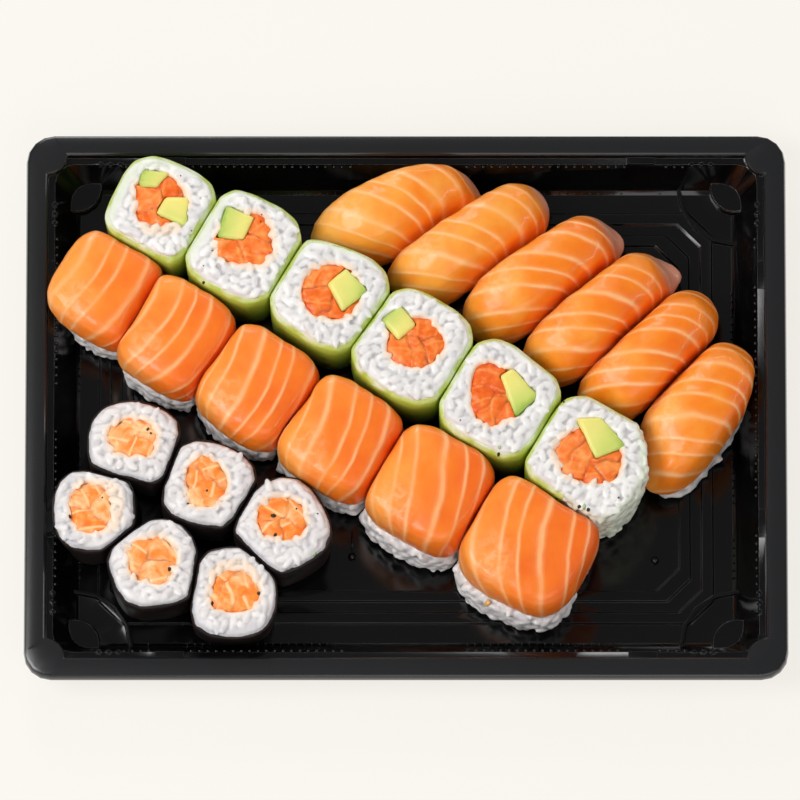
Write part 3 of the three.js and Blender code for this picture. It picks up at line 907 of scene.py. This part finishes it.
@dataclass
class Studio:
    """Pale floor, soft lights and the camera at the photograph's angle."""

    target: tuple[float, float, float] = (-0.0021, 0.00637, 0.00183)
    distance: float = 6.0
    lens_per_metre: float = 129.06
    floor_size: float = 6.0
    sky: float = 0.17

    def build(self) -> None:
        """Make the floor, the world, the lights and the camera."""
        bpy.ops.object.select_all(action="DESELECT")
        bpy.ops.mesh.primitive_plane_add(size=self.floor_size, location=(0, 0, 0))
        floor = bpy.context.active_object
        floor.name = "studio_floor"
        floor.data.materials.append(StudioFloor().make())
        world = bpy.data.worlds.new("studio_world")
        world.use_nodes = True
        world.node_tree.nodes["Background"].inputs["Color"].default_value = linear("#FFFFFF")
        world.node_tree.nodes["Background"].inputs["Strength"].default_value = self.sky
        bpy.context.scene.world = world
        self.light("key", (-0.7, -0.15, 1.0), 0.6, 10.4)
        self.light("near_fill", (0.3, -0.9, 0.95), 0.9, 5.4)
        self.light("far_strip", (-0.25, 1.1, 0.8), 0.35, 3.6)
        self.light("right_edge", (1.2, 0.1, 0.5), 1.2, 3.2, 0.1)
        self.light("far_edge", (0.2, 1.3, 0.45), 1.2, 3.0, 0.1)
        self.camera()
        bpy.context.scene.view_settings.view_transform = "Standard"

    def light(
        self, name: str, place: tuple[float, float, float], size: float, power: float,
        depth: float = 0.0,
    ) -> None:
        """Add a soft light that points at the food.

        Args:
            name: Name of the light.
            place: Its place.
            size: Its width.
            power: Its power in watts.
            depth: Its height, or 0 for a square.
        """
        data = bpy.data.lights.new(name, "AREA")
        data.shape = "RECTANGLE"
        data.size = size
        data.size_y = depth or size
        data.energy = power
        lamp = bpy.data.objects.new(name, data)
        lamp.location = place
        lamp.rotation_euler = (Vector(self.target) - Vector(place)).to_track_quat("-Z", "Y").to_euler()
        bpy.context.scene.collection.objects.link(lamp)

    def camera(self) -> None:
        """Add the camera that looks down as the photograph does."""
        data = bpy.data.cameras.new("camera")
        data.lens = self.lens_per_metre * self.distance
        data.clip_end = self.distance * 3
        back = towards_camera()
        camera = bpy.data.objects.new("camera", data)
        camera.location = Vector(self.target) + back * self.distance
        camera.rotation_euler = (-back).to_track_quat("-Z", "Y").to_euler()
        bpy.context.scene.collection.objects.link(camera)
        bpy.context.scene.camera = camera


@dataclass
class Tray:
    """The thermoformed tray with its rolled edges and rows of small beads."""

    edge_mm: float = 0.5
    bead_mm: float = 0.75
    bead_pitch_mm: float = 2.9
    fine_bead_mm: float = 0.45
    fine_pitch_mm: float = 2.7
    wall_top: tuple[float, float, float] = (121.7, 87.6, 13.9)
    floor_edge: tuple[float, float, float] = (113.4, 81.6, 1.2)
    corner_gap_mm: float = 24.0
    pips: tuple[tuple[float, float], ...] = ((86.5, -51.5), (-18.8, -50.1))
    runner: tuple[float, float] = (-18.8, -44.5)
    pip_z: float = 1.5
    pip_mm: float = 1.5
    pip_scale: tuple[float, float, float] = (1.0, 1.0, 0.4)
    runner_scale: tuple[float, float, float] = (0.25, 2.8, 0.3)
    floor_to_mm: float = 3.0
    walls_to_mm: float = 17.7
    # Strength of the painted edge highlight near the floor and on the walls.
    floor_highlight: float = 0.4
    wall_highlight: float = 0.85
    bevel_from_deg: float = 28.0
    smooth_to_deg: float = 40.0
    pads: dict[str, list[tuple[float, float]]] = field(default_factory=lambda: {
        "far": [(-17, 20), (77, 88)],
        "near": [(-88, -77), (-22, 20), (75, 87)],
        "left": [(-8, 8)],
        "right": [(46, 58), (-44, -33)],
    })

    def build(self, finish: bpy.types.Material) -> None:
        """Build the sheet and its beads.

        Args:
            finish: Material of the sheet.
        """
        sheet = copy_node("tray", "tray_sheet")
        sheet.data.materials.append(finish)
        sheet.data.materials.append(finish)
        apply_modifier(
            sheet, "BEVEL", width=self.edge_mm * MM, segments=2, limit_method="ANGLE",
            angle_limit=math.radians(self.bevel_from_deg), harden_normals=False, material=1,
        )
        # Each bevel face below the rim gets a painted highlight strength.
        highlight_strengths = [self.edge_highlight_strength(face) for face in sheet.data.polygons]
        sheet.data.attributes.new(PAINTED_EDGE_HIGHLIGHT, "FLOAT", "FACE").data.foreach_set("value", highlight_strengths)
        sheet.data.polygons.foreach_set("material_index", [0] * len(highlight_strengths))
        select_only(sheet)
        bpy.ops.object.shade_smooth_by_angle(angle=math.radians(self.smooth_to_deg))
        dress(sheet, finish, ["tray"])
        rows = self.row(self.wall_top, self.bead_pitch_mm)
        coarse = Stamp.bead(self.bead_mm).copies("tray_ledge_beads", rows, *self.still(len(rows)))
        dress(coarse, finish)
        rows = self.row(self.floor_edge, self.fine_pitch_mm)
        fine = Stamp.bead(self.fine_bead_mm).copies("tray_floor_beads", rows, *self.still(len(rows)))
        dress(fine, finish)
        self.floor_pips(finish)

    def edge_highlight_strength(self, face: bpy.types.MeshPolygon) -> float:
        """Tell how strong a face's painted edge highlight is: bevel faces below the rim, stronger on
        the walls than near the floor.
        """
        if face.material_index == 0 or face.center.z >= self.walls_to_mm * MM:
            return 0.0
        return self.floor_highlight if face.center.z < self.floor_to_mm * MM else self.wall_highlight

    def floor_pips(self, finish: bpy.types.Material) -> None:
        """Build the two round pips on the floor and the thin runner of one of them.

        Args:
            finish: Material of the sheet.
        """
        spots = np.array([(*place, self.pip_z) for place in (*self.pips, self.runner)]) * MM
        scales = np.array([self.pip_scale] * len(self.pips) + [self.runner_scale])
        turns = self.still(len(spots))[0]
        pips = Stamp.bead(self.pip_mm).copies("tray_floor_pips", spots, turns, scales)
        dress(pips, finish)

    @staticmethod
    def still(count: int) -> tuple[np.ndarray, np.ndarray]:
        """Return unturned axes and unit scales for a number of copies."""
        return np.tile(np.eye(3), (count, 1, 1)), np.ones((count, 3))

    def row(self, half: tuple[float, float, float], pitch: float) -> np.ndarray:
        """Place beads along the four sides, with gaps at corners and pads.

        Args:
            half: Half length, half depth and height of the row, in millimetres.
            pitch: Distance from bead to bead, in millimetres.

        Returns:
            Places of the beads in metres.
        """
        half_x, half_y, z = half
        places = []
        for side, length in (("far", half_x), ("near", half_x), ("left", half_y), ("right", half_y)):
            for step in np.arange(-length + self.corner_gap_mm, length - self.corner_gap_mm, pitch):
                if any(low < step < high for low, high in self.pads[side]):
                    continue
                spot = {
                    "far": (step, half_y), "near": (step, -half_y),
                    "left": (-half_x, step), "right": (half_x, step),
                }[side]
                places.append((spot[0], spot[1], z))
        return np.array(places) * MM


@dataclass
class Bands:
    """Fat lines of a slice: their direction from +X, bend, spacing and where they start."""

    angle_deg: float
    bend: float
    spacing_mm: float
    phase: float

    def count(self, places: np.ndarray, centre: np.ndarray) -> np.ndarray:
        """Count lines across a slice that is thought of as laid flat.

        Args:
            places: Vertex places in metres.
            centre: Centre of the slice.

        Returns:
            The line count at each vertex, a whole number on a line.
        """
        flat = (places[:, :2] - centre[:2]) / MM
        fall = (places[:, 2].max() - places[:, 2]) / MM
        reach = np.linalg.norm(flat, axis=1)
        flat = flat * (1 + 0.6 * fall / np.maximum(reach, 1))[:, None]
        turn = math.radians(self.angle_deg)
        along = flat[:, 0] * math.cos(turn) + flat[:, 1] * math.sin(turn)
        across = -flat[:, 0] * math.sin(turn) + flat[:, 1] * math.cos(turn)
        return (across - self.bend * along ** 2 / 100) / self.spacing_mm + self.phase


def map_pairs(piece: bpy.types.Object, first: np.ndarray, second: np.ndarray) -> None:
    """Write two numbers of each vertex as the piece's only UV map.

    Args:
        piece: Object that takes the map.
        first: U of each vertex.
        second: V of each vertex.
    """
    for old in list(piece.data.uv_layers):
        piece.data.uv_layers.remove(old)
    layer = piece.data.uv_layers.new(name="pairs")
    corner = np.zeros(len(piece.data.loops), dtype=int)
    piece.data.loops.foreach_get("vertex_index", corner)
    layer.data.foreach_set("uv", np.stack([first[corner], second[corner]], axis=1).ravel())


@dataclass
class SalmonSlice:
    """A slice of raw salmon draped over rice, with relief along its fat lines."""

    node: str
    bands: Bands
    seed: int
    far_deg: float = 30.0
    tip_from: float = 2.0
    tone: float = 0.0
    # Place, reach and strength of the painted sheen patch.
    sheen_at: tuple[float, float] = (-0.5, -0.3)
    sheen_reach: tuple[float, float] = (0.3, 0.42)
    sheen_amount: float = 0.32
    tip_amount: float = 0.75
    mesh_mm: float = 0.7
    crown_rounds: int = 52
    crown_from_mm: float = 3.0
    uneven: float = 0.16
    swell_mm: float = 0.2
    groove_mm: float = 0.08
    hump_mm: float = 0.42
    fibre_mm: float = 0.12

    def build(self, finish: bpy.types.Material) -> None:
        """Build the slice.

        Args:
            finish: Its salmon material.
        """
        piece = copy_node(self.node, f"{self.node}_slice")
        outline = outline_of(piece)
        round_off(piece, 2)
        even_mesh(piece, self.mesh_mm, 5)
        start = self.crown_from_mm * MM
        crown = np.clip((distance_to(points_of(piece), outline) - start) / start, 0, 1)
        relax(piece, self.crown_rounds, crown)
        places = points_of(piece)
        normals = normals_of(piece)
        middle = (places.max(axis=0) + places.min(axis=0)) / 2
        lines = self.bands.count(places, middle)
        lines += self.uneven * np.sin(2.1 * lines + self.seed)
        swell = self.swell_mm + self.groove_mm * np.cos(lines * 2 * math.pi)
        swell += self.hump_mm * ripple(places, 11, self.seed)
        swell += self.fibre_mm * ripple(places, 3.5, self.seed)
        move_points(piece, places + normals * (swell * MM)[:, None])
        map_pairs(piece, lines, places[:, 2] / MM)
        half = (places.max(axis=0) - places.min(axis=0)) / 2
        flat = (places - middle)[:, :2] / half[:2]
        # Lighter to the left and near side, redder to the right: painted light and shade.
        shaded = 0.42 * (0.8 * flat[:, 0] - 0.35 * flat[:, 1])
        write_values(piece, SIDE_LIGHT_AND_SHADE, 0.08 + self.tone + shaded)
        # A whitish patch at the lower-left shoulder: a painted sheen.
        beside = np.linalg.norm((flat - self.sheen_at) / self.sheen_reach, axis=1)
        write_values(piece, PAINTED_SHEEN, self.sheen_amount * np.clip(1.2 - beside, 0, 1))
        turn = math.radians(self.far_deg)
        reach = flat[:, 0] * math.cos(turn) + flat[:, 1] * math.sin(turn)
        write_values(piece, TIP, self.tip_amount * np.clip((reach - self.tip_from) / 0.12, 0, 1))
        dress(piece, finish, [self.node])


@dataclass
class RiceBody:
    """A pressed body of rice: a core a little inside the CAD solid, with grains over it."""

    node: str
    seed: int
    coat: RiceCoat
    sink_mm: float
    bump_mm: float
    fuse_mm: float
    filling: str | None = None
    wrapped: bool = False
    soften: int = 14
    shift_mm: tuple[float, float] = (0.0, 0.0)
    mesh_mm: float = 0.8
    below_rim_mm: float = 0.55
    rim_reach_mm: float = 3.0
    hole_mm: float = 1.3
    hole_rise_mm: float = 0.45
    hollow_mm: float = 0.13

    def build(self, finish: bpy.types.Material, where: Where) -> None:
        """Build the core and its grains as one piece.

        Args:
            finish: Rice material.
            where: Where grains show.
        """
        core = copy_node(self.node, f"{self.node}_body")
        outline = outline_of(core)
        even_mesh(core, self.mesh_mm, self.soften, keep=0)
        places = points_of(core)
        depth = self.sink_mm - self.bump_mm * ripple(places, 3, self.seed)
        if self.wrapped:
            below = np.clip((places[:, 2].max() - places[:, 2]) / MM - 0.8, 0, 1)
            rim = fade(distance_to(places, outline), self.rim_reach_mm)
            depth += self.below_rim_mm * below * rim
            inner = distance_to(places, self.column()) < self.hole_mm * MM
            depth = np.where(inner, -self.hole_rise_mm, depth)
        shift = np.array([*self.shift_mm, 0.0]) * MM
        move_points(core, places - normals_of(core) * (depth * MM)[:, None] + shift)
        grains = self.coat.cover(core, f"{self.node}_grains", self.seed, where)
        bpy.ops.object.select_all(action="DESELECT")
        grains.select_set(True)
        core.select_set(True)
        bpy.context.view_layer.objects.active = core
        bpy.ops.object.join()
        even_mesh(core, self.fuse_mm, 1, keep=0)
        self.shade(core, outline)
        dress(core, finish, [self.node])

    def column(self) -> np.ndarray:
        """Return points of the filling's edges, also between its corners."""
        filling = frame["nodes"][self.filling]
        return along_edges(points_of(filling), edges_of(filling), 6)

    def shade(self, piece: bpy.types.Object, outline: np.ndarray) -> None:
        """Tell the shader how near the filling and the wrap are, and how deep each vertex lies in a
        hollow, for painted shade in the hollows and by the wrap.

        Args:
            piece: The joined rice.
            outline: Points of the CAD node's upright sides.
        """
        places = points_of(piece)
        # Hollows between the grains get painted shade.
        write_values(piece, CREASE_SHADE, 0.85 * hollows(piece, 5, self.hollow_mm))
        if self.filling:
            write_values(piece, NEAR_SALMON, 0.8 * fade(distance_to(places, self.column()), 2.2))
        if self.wrapped:
            # Rice near the wrap is mixed towards painted shade, with the leaf's green for the leaf
            # rolls.
            write_values(piece, NEAR_WRAP_SHADE, fade(distance_to(places, outline), 2.4))


@dataclass
class Wrap:
    """A thin sheet round the side of a roll, made from the side faces of its rice solid."""

    node: str
    name: str
    seed: int
    thick_mm: float
    stand_mm: float
    wrinkle_mm: float
    lip_mm: float
    keep: Callable[[np.ndarray], bool] | None = None

    def build(self, finish: bpy.types.Material, slot: str) -> None:
        """Build the sheet.

        Args:
            finish: Its material.
            slot: The record's material slot; not used.
        """
        piece = copy_node(self.node, self.name)
        centre = points_of(piece).mean(axis=0)
        select_only(piece)
        bpy.ops.object.mode_set(mode="EDIT")
        bpy.ops.mesh.select_all(action="DESELECT")
        bpy.ops.object.mode_set(mode="OBJECT")
        for face in piece.data.polygons:
            outward = np.array(face.center)[:2] - centre[:2]
            normal = np.array(face.normal)
            side = abs(normal[2]) < 0.6 and float(outward @ normal[:2]) > 0
            outer = np.linalg.norm(outward) > 12.5 * MM
            wanted = side and outer and (self.keep is None or self.keep(np.array(face.center)))
            face.select = not wanted
        bpy.ops.object.mode_set(mode="EDIT")
        bpy.ops.mesh.select_mode(type="FACE")
        bpy.ops.mesh.delete(type="FACE")
        bpy.ops.object.mode_set(mode="OBJECT")
        apply_modifier(piece, "SUBSURF", levels=2, render_levels=2, subdivision_type="SIMPLE")
        relax(piece, 12, keep=0.6, level=True)
        places = points_of(piece)
        normals = normals_of(piece)
        long_folds = places * [1.0, 1.0, 0.4]
        stand = self.stand_mm + self.wrinkle_mm * ripple(long_folds, 6, self.seed)
        top = places[:, 2].max()
        near_top = np.clip((places[:, 2] - top + 3 * MM) / (3 * MM), 0, 1)
        lip = near_top * (self.lip_mm + 0.4 * ripple(places, 5, self.seed + 9))
        places = places + normals * (stand * MM)[:, None]
        places[:, 2] += lip * MM
        move_points(piece, places)
        apply_modifier(piece, "SOLIDIFY", thickness=self.thick_mm * MM, offset=-1.0)
        select_only(piece)
        bpy.ops.object.shade_smooth()
        dress(piece, finish)


@dataclass
class SalmonFilling:
    """Salmon in the middle of a roll: one column whose top is parted in chunks by creases."""

    node: str
    chunks: list[tuple[float, float]]
    seed: int
    crease_mm: float = 0.8
    flare_mm: float = 1.5
    step_mm: float = 0.5
    mesh_mm: float = 0.54
    warp_mm: float = 2.4
    line_mm: float = 0.6
    rim_mm: tuple[float, float] = (0.7, 4.0)

    def build(self, finish: bpy.types.Material) -> None:
        """Build the column.

        Args:
            finish: Its material.
        """
        piece = copy_node(self.node, f"{self.node}_chunks")
        even_mesh(piece, self.mesh_mm, 3)
        places = points_of(piece)
        low, high = places.min(axis=0), places.max(axis=0)
        middle = (low + high) / 2
        warp = np.stack([ripple(places, 5, self.seed + step) for step in (0, 4)], axis=1)
        flat = places[:, :2] + warp * self.warp_mm * MM
        seeds = middle[:2] + np.array(self.chunks) * MM
        away = np.linalg.norm(flat[:, None, :] - seeds[None, :, :], axis=2)
        chunk = np.argmin(away, axis=1)
        nearest = np.sort(away, axis=1)
        crease = np.exp(-(((nearest[:, 1] - nearest[:, 0]) / (self.line_mm * MM)) ** 2))
        draw = np.random.default_rng(self.seed)
        rise = (draw.random(len(seeds)) - 0.4) * 2 * self.step_mm
        slope = (draw.random((len(seeds), 2)) - 0.5) * 0.2
        tilt = ((flat - seeds[chunk]) * slope[chunk]).sum(axis=1) / MM
        relief = 0.45 * ripple(places, 2.6, self.seed + 1) + 0.2 * ripple(places, 1.2, self.seed + 2)
        near_top = np.clip((places[:, 2] - high[2] + 3 * MM) / (3 * MM), 0, 1)
        top = normals_of(piece)[:, 2] > 0.35
        lift = np.where(top, rise[chunk] + tilt + relief - self.crease_mm * crease, relief)
        outward = places[:, :2] - middle[:2]
        outward /= np.maximum(np.linalg.norm(outward, axis=1), 1e-6)[:, None]
        ragged = 0.4 + 1.5 * ripple(places * [1, 1, 0.2], 2.2, self.seed + 3)
        flare = near_top * self.flare_mm * np.clip(ragged, -0.5, 1.3)
        rim = fade(np.where(top, distance_to(places, self.border(high[2])), 9), 3)
        places[:, 2] += near_top * lift * MM
        places[:, :2] += outward * (flare * np.where(top, rim, 1))[:, None] * MM
        move_points(piece, places)
        write_values(piece, CELL, draw.random(len(seeds))[chunk])
        # The creases between chunks, broken up by noise, get painted shade.
        broken = np.clip(0.7 + 2.2 * ripple(places, 5, self.seed + 6), 0, 1.3)
        write_values(piece, CREASE_SHADE, 0.5 * crease * top * broken)
        select_only(piece)
        bpy.ops.object.shade_smooth()
        dress(piece, finish, [self.node])

    def border(self, top: float) -> np.ndarray:
        """Return points round the column's upper edge.

        Args:
            top: Height of the column's top.

        Returns:
            Points, one row each.
        """
        node = frame["nodes"][self.node]
        corners = points_of(node)
        edges = edges_of(node)
        heights = corners[:, 2]
        rim = (heights < top - self.rim_mm[0] * MM) & (heights > top - self.rim_mm[1] * MM)
        upper = edges[rim[edges].all(axis=1)]
        return along_edges(corners, upper, 6) if len(upper) else corners


@dataclass
class AvocadoStick:
    """A stick of avocado that runs through a roll, with its green skin side to one side."""

    node: str
    skin_deg: float
    seed: int

    def build(self, finish: bpy.types.Material) -> None:
        """Build the stick.

        Args:
            finish: Avocado material.
        """
        piece = copy_node(self.node, f"{self.node}_stick")
        apply_modifier(piece, "REMESH", mode="VOXEL", voxel_size=0.65 * MM)
        relax(piece, 3)
        places = points_of(piece)
        relief = 0.35 + 0.2 * ripple(places, 5, self.seed)
        move_points(piece, places + normals_of(piece) * (relief * MM)[:, None])
        select_only(piece)
        bpy.ops.object.shade_smooth()
        turn = math.radians(self.skin_deg)
        towards = places[:, 0] * math.cos(turn) + places[:, 1] * math.sin(turn)
        share = (towards - towards.min()) / (towards.max() - towards.min())
        map_pairs(piece, share * 0.85, places[:, 2] / MM)
        dress(piece, finish, [self.node])


@dataclass
class Specks:
    """Specks and flecks that lie on the food, put where the photograph shows them."""

    name: str
    seen: list[tuple[float, float, float]]
    flat: float = 0.45
    above: float = 0.2

    def build(self, pieces: list[bpy.types.Object], finish: bpy.types.Material, slot: str) -> None:
        """Build the specks on the first surface that the line of sight meets.

        Args:
            pieces: Finished pieces that can carry a speck.
            finish: Material of the specks.
            slot: The record's material slot; not used.
        """
        back = towards_camera()
        draw = np.random.default_rng(len(self.seen))
        centres, turns, scales = [], [], []
        for across, down, size in self.seen:
            x = (across - PICTURE_MIDDLE[0]) / PICTURE_PIXELS_PER_MM * MM
            y = (PICTURE_MIDDLE[1] - down) / PICTURE_PIXELS_PER_MM / back.z * MM
            start = Vector((x, y, 0)) + back * self.above
            hits = [piece.ray_cast(start, -back) for piece in pieces]
            hits = [(place, normal) for met, place, normal, _ in hits if met]
            if not hits:
                LOG.info("%s: nothing under %s, %s", self.name, across, down)
                continue
            place, normal = min(hits, key=lambda hit: (hit[0] - start).length)
            turn = normal.to_track_quat("Z", "X").to_matrix()
            centres.append(place)
            turns.append(np.array(turn))
            scales.append(np.array([1.3, 0.7 + 0.5 * draw.random(), self.flat]) * size / 2)
        piece = Stamp.bead(1.0).copies(self.name, np.array(centres), np.array(turns), np.array(scales))
        dress(piece, finish)


class Skin(Enum):
    """Which way the skin side of each stick faces, as an angle from +X in degrees."""

    roll_1_avocado_1 = 150.0
    roll_1_avocado_2 = -95.0
    roll_2_avocado = 165.0
    roll_3_avocado = -15.0
    roll_4_avocado = 140.0
    roll_5_avocado = -50.0
    roll_6_avocado = -20.0


@dataclass
class Finishes:
    """All materials of the food."""

    roll_rice: bpy.types.Material
    rice: bpy.types.Material
    block_slice: bpy.types.Material
    pressed_slice: bpy.types.Material
    roll_core: bpy.types.Material
    thin_core: bpy.types.Material
    avocado: bpy.types.Material
    leaf: bpy.types.Material
    seaweed: bpy.types.Material

    @classmethod
    def make(cls) -> "Finishes":
        """Return the finishes of this platter."""
        return cls(
            roll_rice=CookedRice("rice_in_leaf", wrap_shade_and_tint="#DFE6CF").make(),
            # A darker copy of the same rice for the blocks, the hand-pressed pieces and the thin
            # rolls: painted shade.
            rice=CookedRice(light="#E9E4E1", shade="#D2CDCD").make(),
            block_slice=RawSalmon(
                "salmon_over_blocks", "#F67F22", "#FA9A3C", "#EC5F14", "#FFC286", 0.75
            ).make(),
            pressed_slice=RawSalmon(
                "salmon_over_pressed_rice", "#F8871A", "#FCAA45", "#F0640F", "#FFC88C", 0.75
            ).make(),
            roll_core=SalmonCore(
                "salmon_in_rolls", "#F07020", "#DF5412", "#FBA355", "#A84314", 0.45
            ).make(),
            thin_core=SalmonCore(
                "salmon_in_thin_rolls", "#F99038", "#F07426", "#FFD09A", "#BC5620", 0.75
            ).make(),
            avocado=CutAvocado().make(),
            leaf=LeafWrap(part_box("roll_4_rice")[1].z, 2 * MM).make(),
            seaweed=SeaweedSheet().make(),
        )


@dataclass
class Platter:
    """All the food on the tray."""

    finishes: Finishes
    pressed: RiceCoat
    loose: RiceCoat

    def rolls(self) -> None:
        """Build the six wrapped rolls."""
        chunks = [
            [(-4, 2), (-3, -5), (4, 6), (6, 1)],
            [(-5, -5), (4, -3), (6, 4)],
            [(-4, 5), (-3, -2), (2, -7)],
            [(-4, -4), (1, -3), (6, -2), (4, 5)],
            [(-4, 6), (-5, -1), (0, -7), (4, -9)],
            [(-9, 1), (-4, -3), (1, -7), (7, -5), (8, 1)],
        ]
        for number in range(1, 7):
            node = f"roll_{number}_rice"
            low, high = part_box(node)
            middle = (np.array(low) + np.array(high)) / 2
            outline = outline_of(frame["nodes"][node])
            bare = number == 6

            def shows(places: np.ndarray, normals: np.ndarray) -> np.ndarray:
                """Tell which places are on the face, or on the bare side of the last roll."""
                face = (normals[:, 2] > 0.7) & (distance_to(places, outline) > 1.0 * MM)
                towards = (places[:, 0] - middle[0]) - (places[:, 1] - middle[1])
                outer = np.linalg.norm(places[:, :2] - middle[:2], axis=1) > 14 * MM
                return face | (bare & outer & (towards > 4 * MM))

            def wrapped(place: np.ndarray) -> bool:
                """Tell which side faces carry the leaf."""
                towards = (place[0] - middle[0]) - (place[1] - middle[1])
                return not bare or towards < 6 * MM

            RiceBody(
                node, 500 + number, self.pressed, 0.05, 0.2, 0.5, f"roll_{number}_salmon", True, 5
            ).build(self.finishes.roll_rice, shows)
            Wrap(
                node, f"roll_{number}_leaf", 520 + number, 0.35, 0.1, 0.12, -1.1, wrapped
            ).build(self.finishes.leaf, "leaf_wrap")
            SalmonFilling(
                f"roll_{number}_salmon", chunks[number - 1], 540 + number
            ).build(self.finishes.roll_core)
        for index, stick in enumerate(Skin):
            AvocadoStick(stick.name, stick.value, 560 + index).build(self.finishes.avocado)

    def blocks(self) -> None:
        """Build the six blocks with their draped slices."""
        bands = [
            Bands(57, 0.9, 7.6, 0.2), Bands(57, 1.2, 7.2, 0.1), Bands(66, 0.8, 7.0, 0.4),
            Bands(70, 0.7, 7.4, 0.0), Bands(82, 0.4, 8.0, 0.3), Bands(82, -0.6, 8.0, 0.5),
        ]
        for number, lines in enumerate(bands, 1):
            RiceBody(f"block_{number}_rice", 600 + number, self.loose, 0.7, 0.3, 0.58).build(
                self.finishes.rice, lambda places, normals: places[:, 2] < 17 * MM
            )
            SalmonSlice(f"block_{number}_salmon", lines, 620 + number).build(
                self.finishes.block_slice
            )

    def hand_pressed(self) -> None:
        """Build the six hand-pressed pieces."""
        bands = [
            Bands(-28, -0.5, 7.4, 0.1), Bands(-20, -0.6, 7.6, 0.4), Bands(-6, -0.6, 7.6, 0.0),
            Bands(-10, -0.7, 7.4, 0.3), Bands(-4, -0.6, 7.2, 0.2), Bands(-8, -0.8, 7.8, 0.5),
        ]
        tips = [0.98, 1.0, 0.9, 0.86, 2.0, 2.0]
        tones = [-0.16, -0.18, -0.02, 0.04, -0.02, -0.06]
        for number, (lines, tip, tone) in enumerate(zip(bands, tips, tones), 1):
            shift = (2.8, -3.0) if number == 6 else (0.0, 0.0)
            RiceBody(
                f"nigiri_{number}_rice", 700 + number, self.loose, 0.7, 0.3, 0.95, shift_mm=shift
            ).build(
                self.finishes.rice, lambda places, normals: places[:, 2] < 12 * MM
            )
            SalmonSlice(
                f"nigiri_{number}_salmon", lines, 720 + number, 25.0, tip, tone, (-0.58, -0.15)
            ).build(self.finishes.pressed_slice)

    def thin_rolls(self) -> None:
        """Build the six thin rolls."""
        chunks = [
            [(-4, 1), (3, -3), (5, 3)], [(-2, 5), (3, 0), (-2, -6)], [(2, 4), (-1, -1), (-3, -7)],
            [(-4, 3), (3, 3), (2, -5)], [(-3, 3), (5, 2), (-4, -4), (3, -4)],
            [(-5, 3), (1, -1), (5, -4)],
        ]
        for number in range(1, 7):
            node = f"maki_{number}_rice"
            outline = outline_of(frame["nodes"][node])

            def shows(places: np.ndarray, normals: np.ndarray) -> np.ndarray:
                """Tell which places are on the cut face."""
                return (normals[:, 2] > 0.6) & (distance_to(places, outline) > 1.1 * MM)

            RiceBody(
                node, 800 + number, self.pressed, -0.1, 0.2, 0.44, f"maki_{number}_salmon", True, 5
            ).build(self.finishes.rice, shows)
            Wrap(
                node, f"maki_{number}_seaweed", 820 + number, 0.3, 0.0, 0.1, -1.6
            ).build(self.finishes.seaweed, "seaweed")
            SalmonFilling(
                f"maki_{number}_salmon", chunks[number - 1], 840 + number, 0.5, 1.3, 0.3
            ).build(self.finishes.thin_core)

    def specks(self) -> None:
        """Build the specks and flecks on the rice and the fillings."""
        ends = ("_body", "_chunks", "_leaf")
        food = [piece for piece in bpy.data.objects if piece.name.endswith(ends)]
        dark = [
            (181, 176, 0.7), (262, 215, 0.6), (261, 222, 0.6), (213, 251, 0.7), (204, 266, 0.6),
            (189, 277, 1.1), (204, 283, 1.3), (192, 231, 0.7), (498, 454, 1.7), (556, 498, 1.2),
            (578, 506, 1.4), (587, 509, 1.5), (617, 497, 0.7), (563, 402, 0.9), (460, 420, 0.6),
            (149, 429, 1.3), (152, 433, 0.8), (72, 516, 1.8), (66, 474, 1.5), (189, 503, 1.0),
            (208, 490, 0.8), (171, 568, 1.5), (274, 515, 1.9), (276, 534, 1.3), (318, 513, 0.8),
            (213, 602, 1.6), (260, 592, 1.4), (297, 508, 0.7), (104, 497, 0.7),
        ]
        green = [(315, 553, 1.8), (190, 236, 1.1), (499, 447, 1.5), (350, 362, 1.2), (583, 506, 2.0)]
        yellow = [(487, 602, 2.6), (484, 604, 1.4)]
        sets = [
            ("dark_specks", dark, Fleck("dry_seaweed_bits", "#1C120C", "#3A2418"), "seaweed"),
            ("green_bits", green, Fleck("leaf_bits", "#8FA86B", "#B9CBA0"), "leaf_wrap"),
            ("yellow_fleck", yellow, Fleck("yellow_crumb", "#E0A24A", "#F0C27E"), "rice"),
        ]
        for name, seen, fleck, slot in sets:
            Specks(name, seen).build(food, fleck.make(), slot)


def main() -> None:
    """Build the studio, the tray and the food in order."""
    logging.basicConfig(level=logging.INFO, format="%(name)s %(message)s")
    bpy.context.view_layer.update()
    Studio().build()
    Tray().build(BlackSheet().make())
    grain = Stamp.grain(5.4, 2.8, 2.3)
    platter = Platter(
        Finishes.make(),
        pressed=RiceCoat(grain, 2.5, -0.1, 0.42, 0.26, 0.8),
        loose=RiceCoat(grain, 2.6, -0.1, 0.4, 0.35, 0.95),
    )
    platter.rolls()
    platter.blocks()
    platter.hand_pressed()
    platter.thin_rolls()
    platter.specks()


if __name__ == "__main__":
    main()
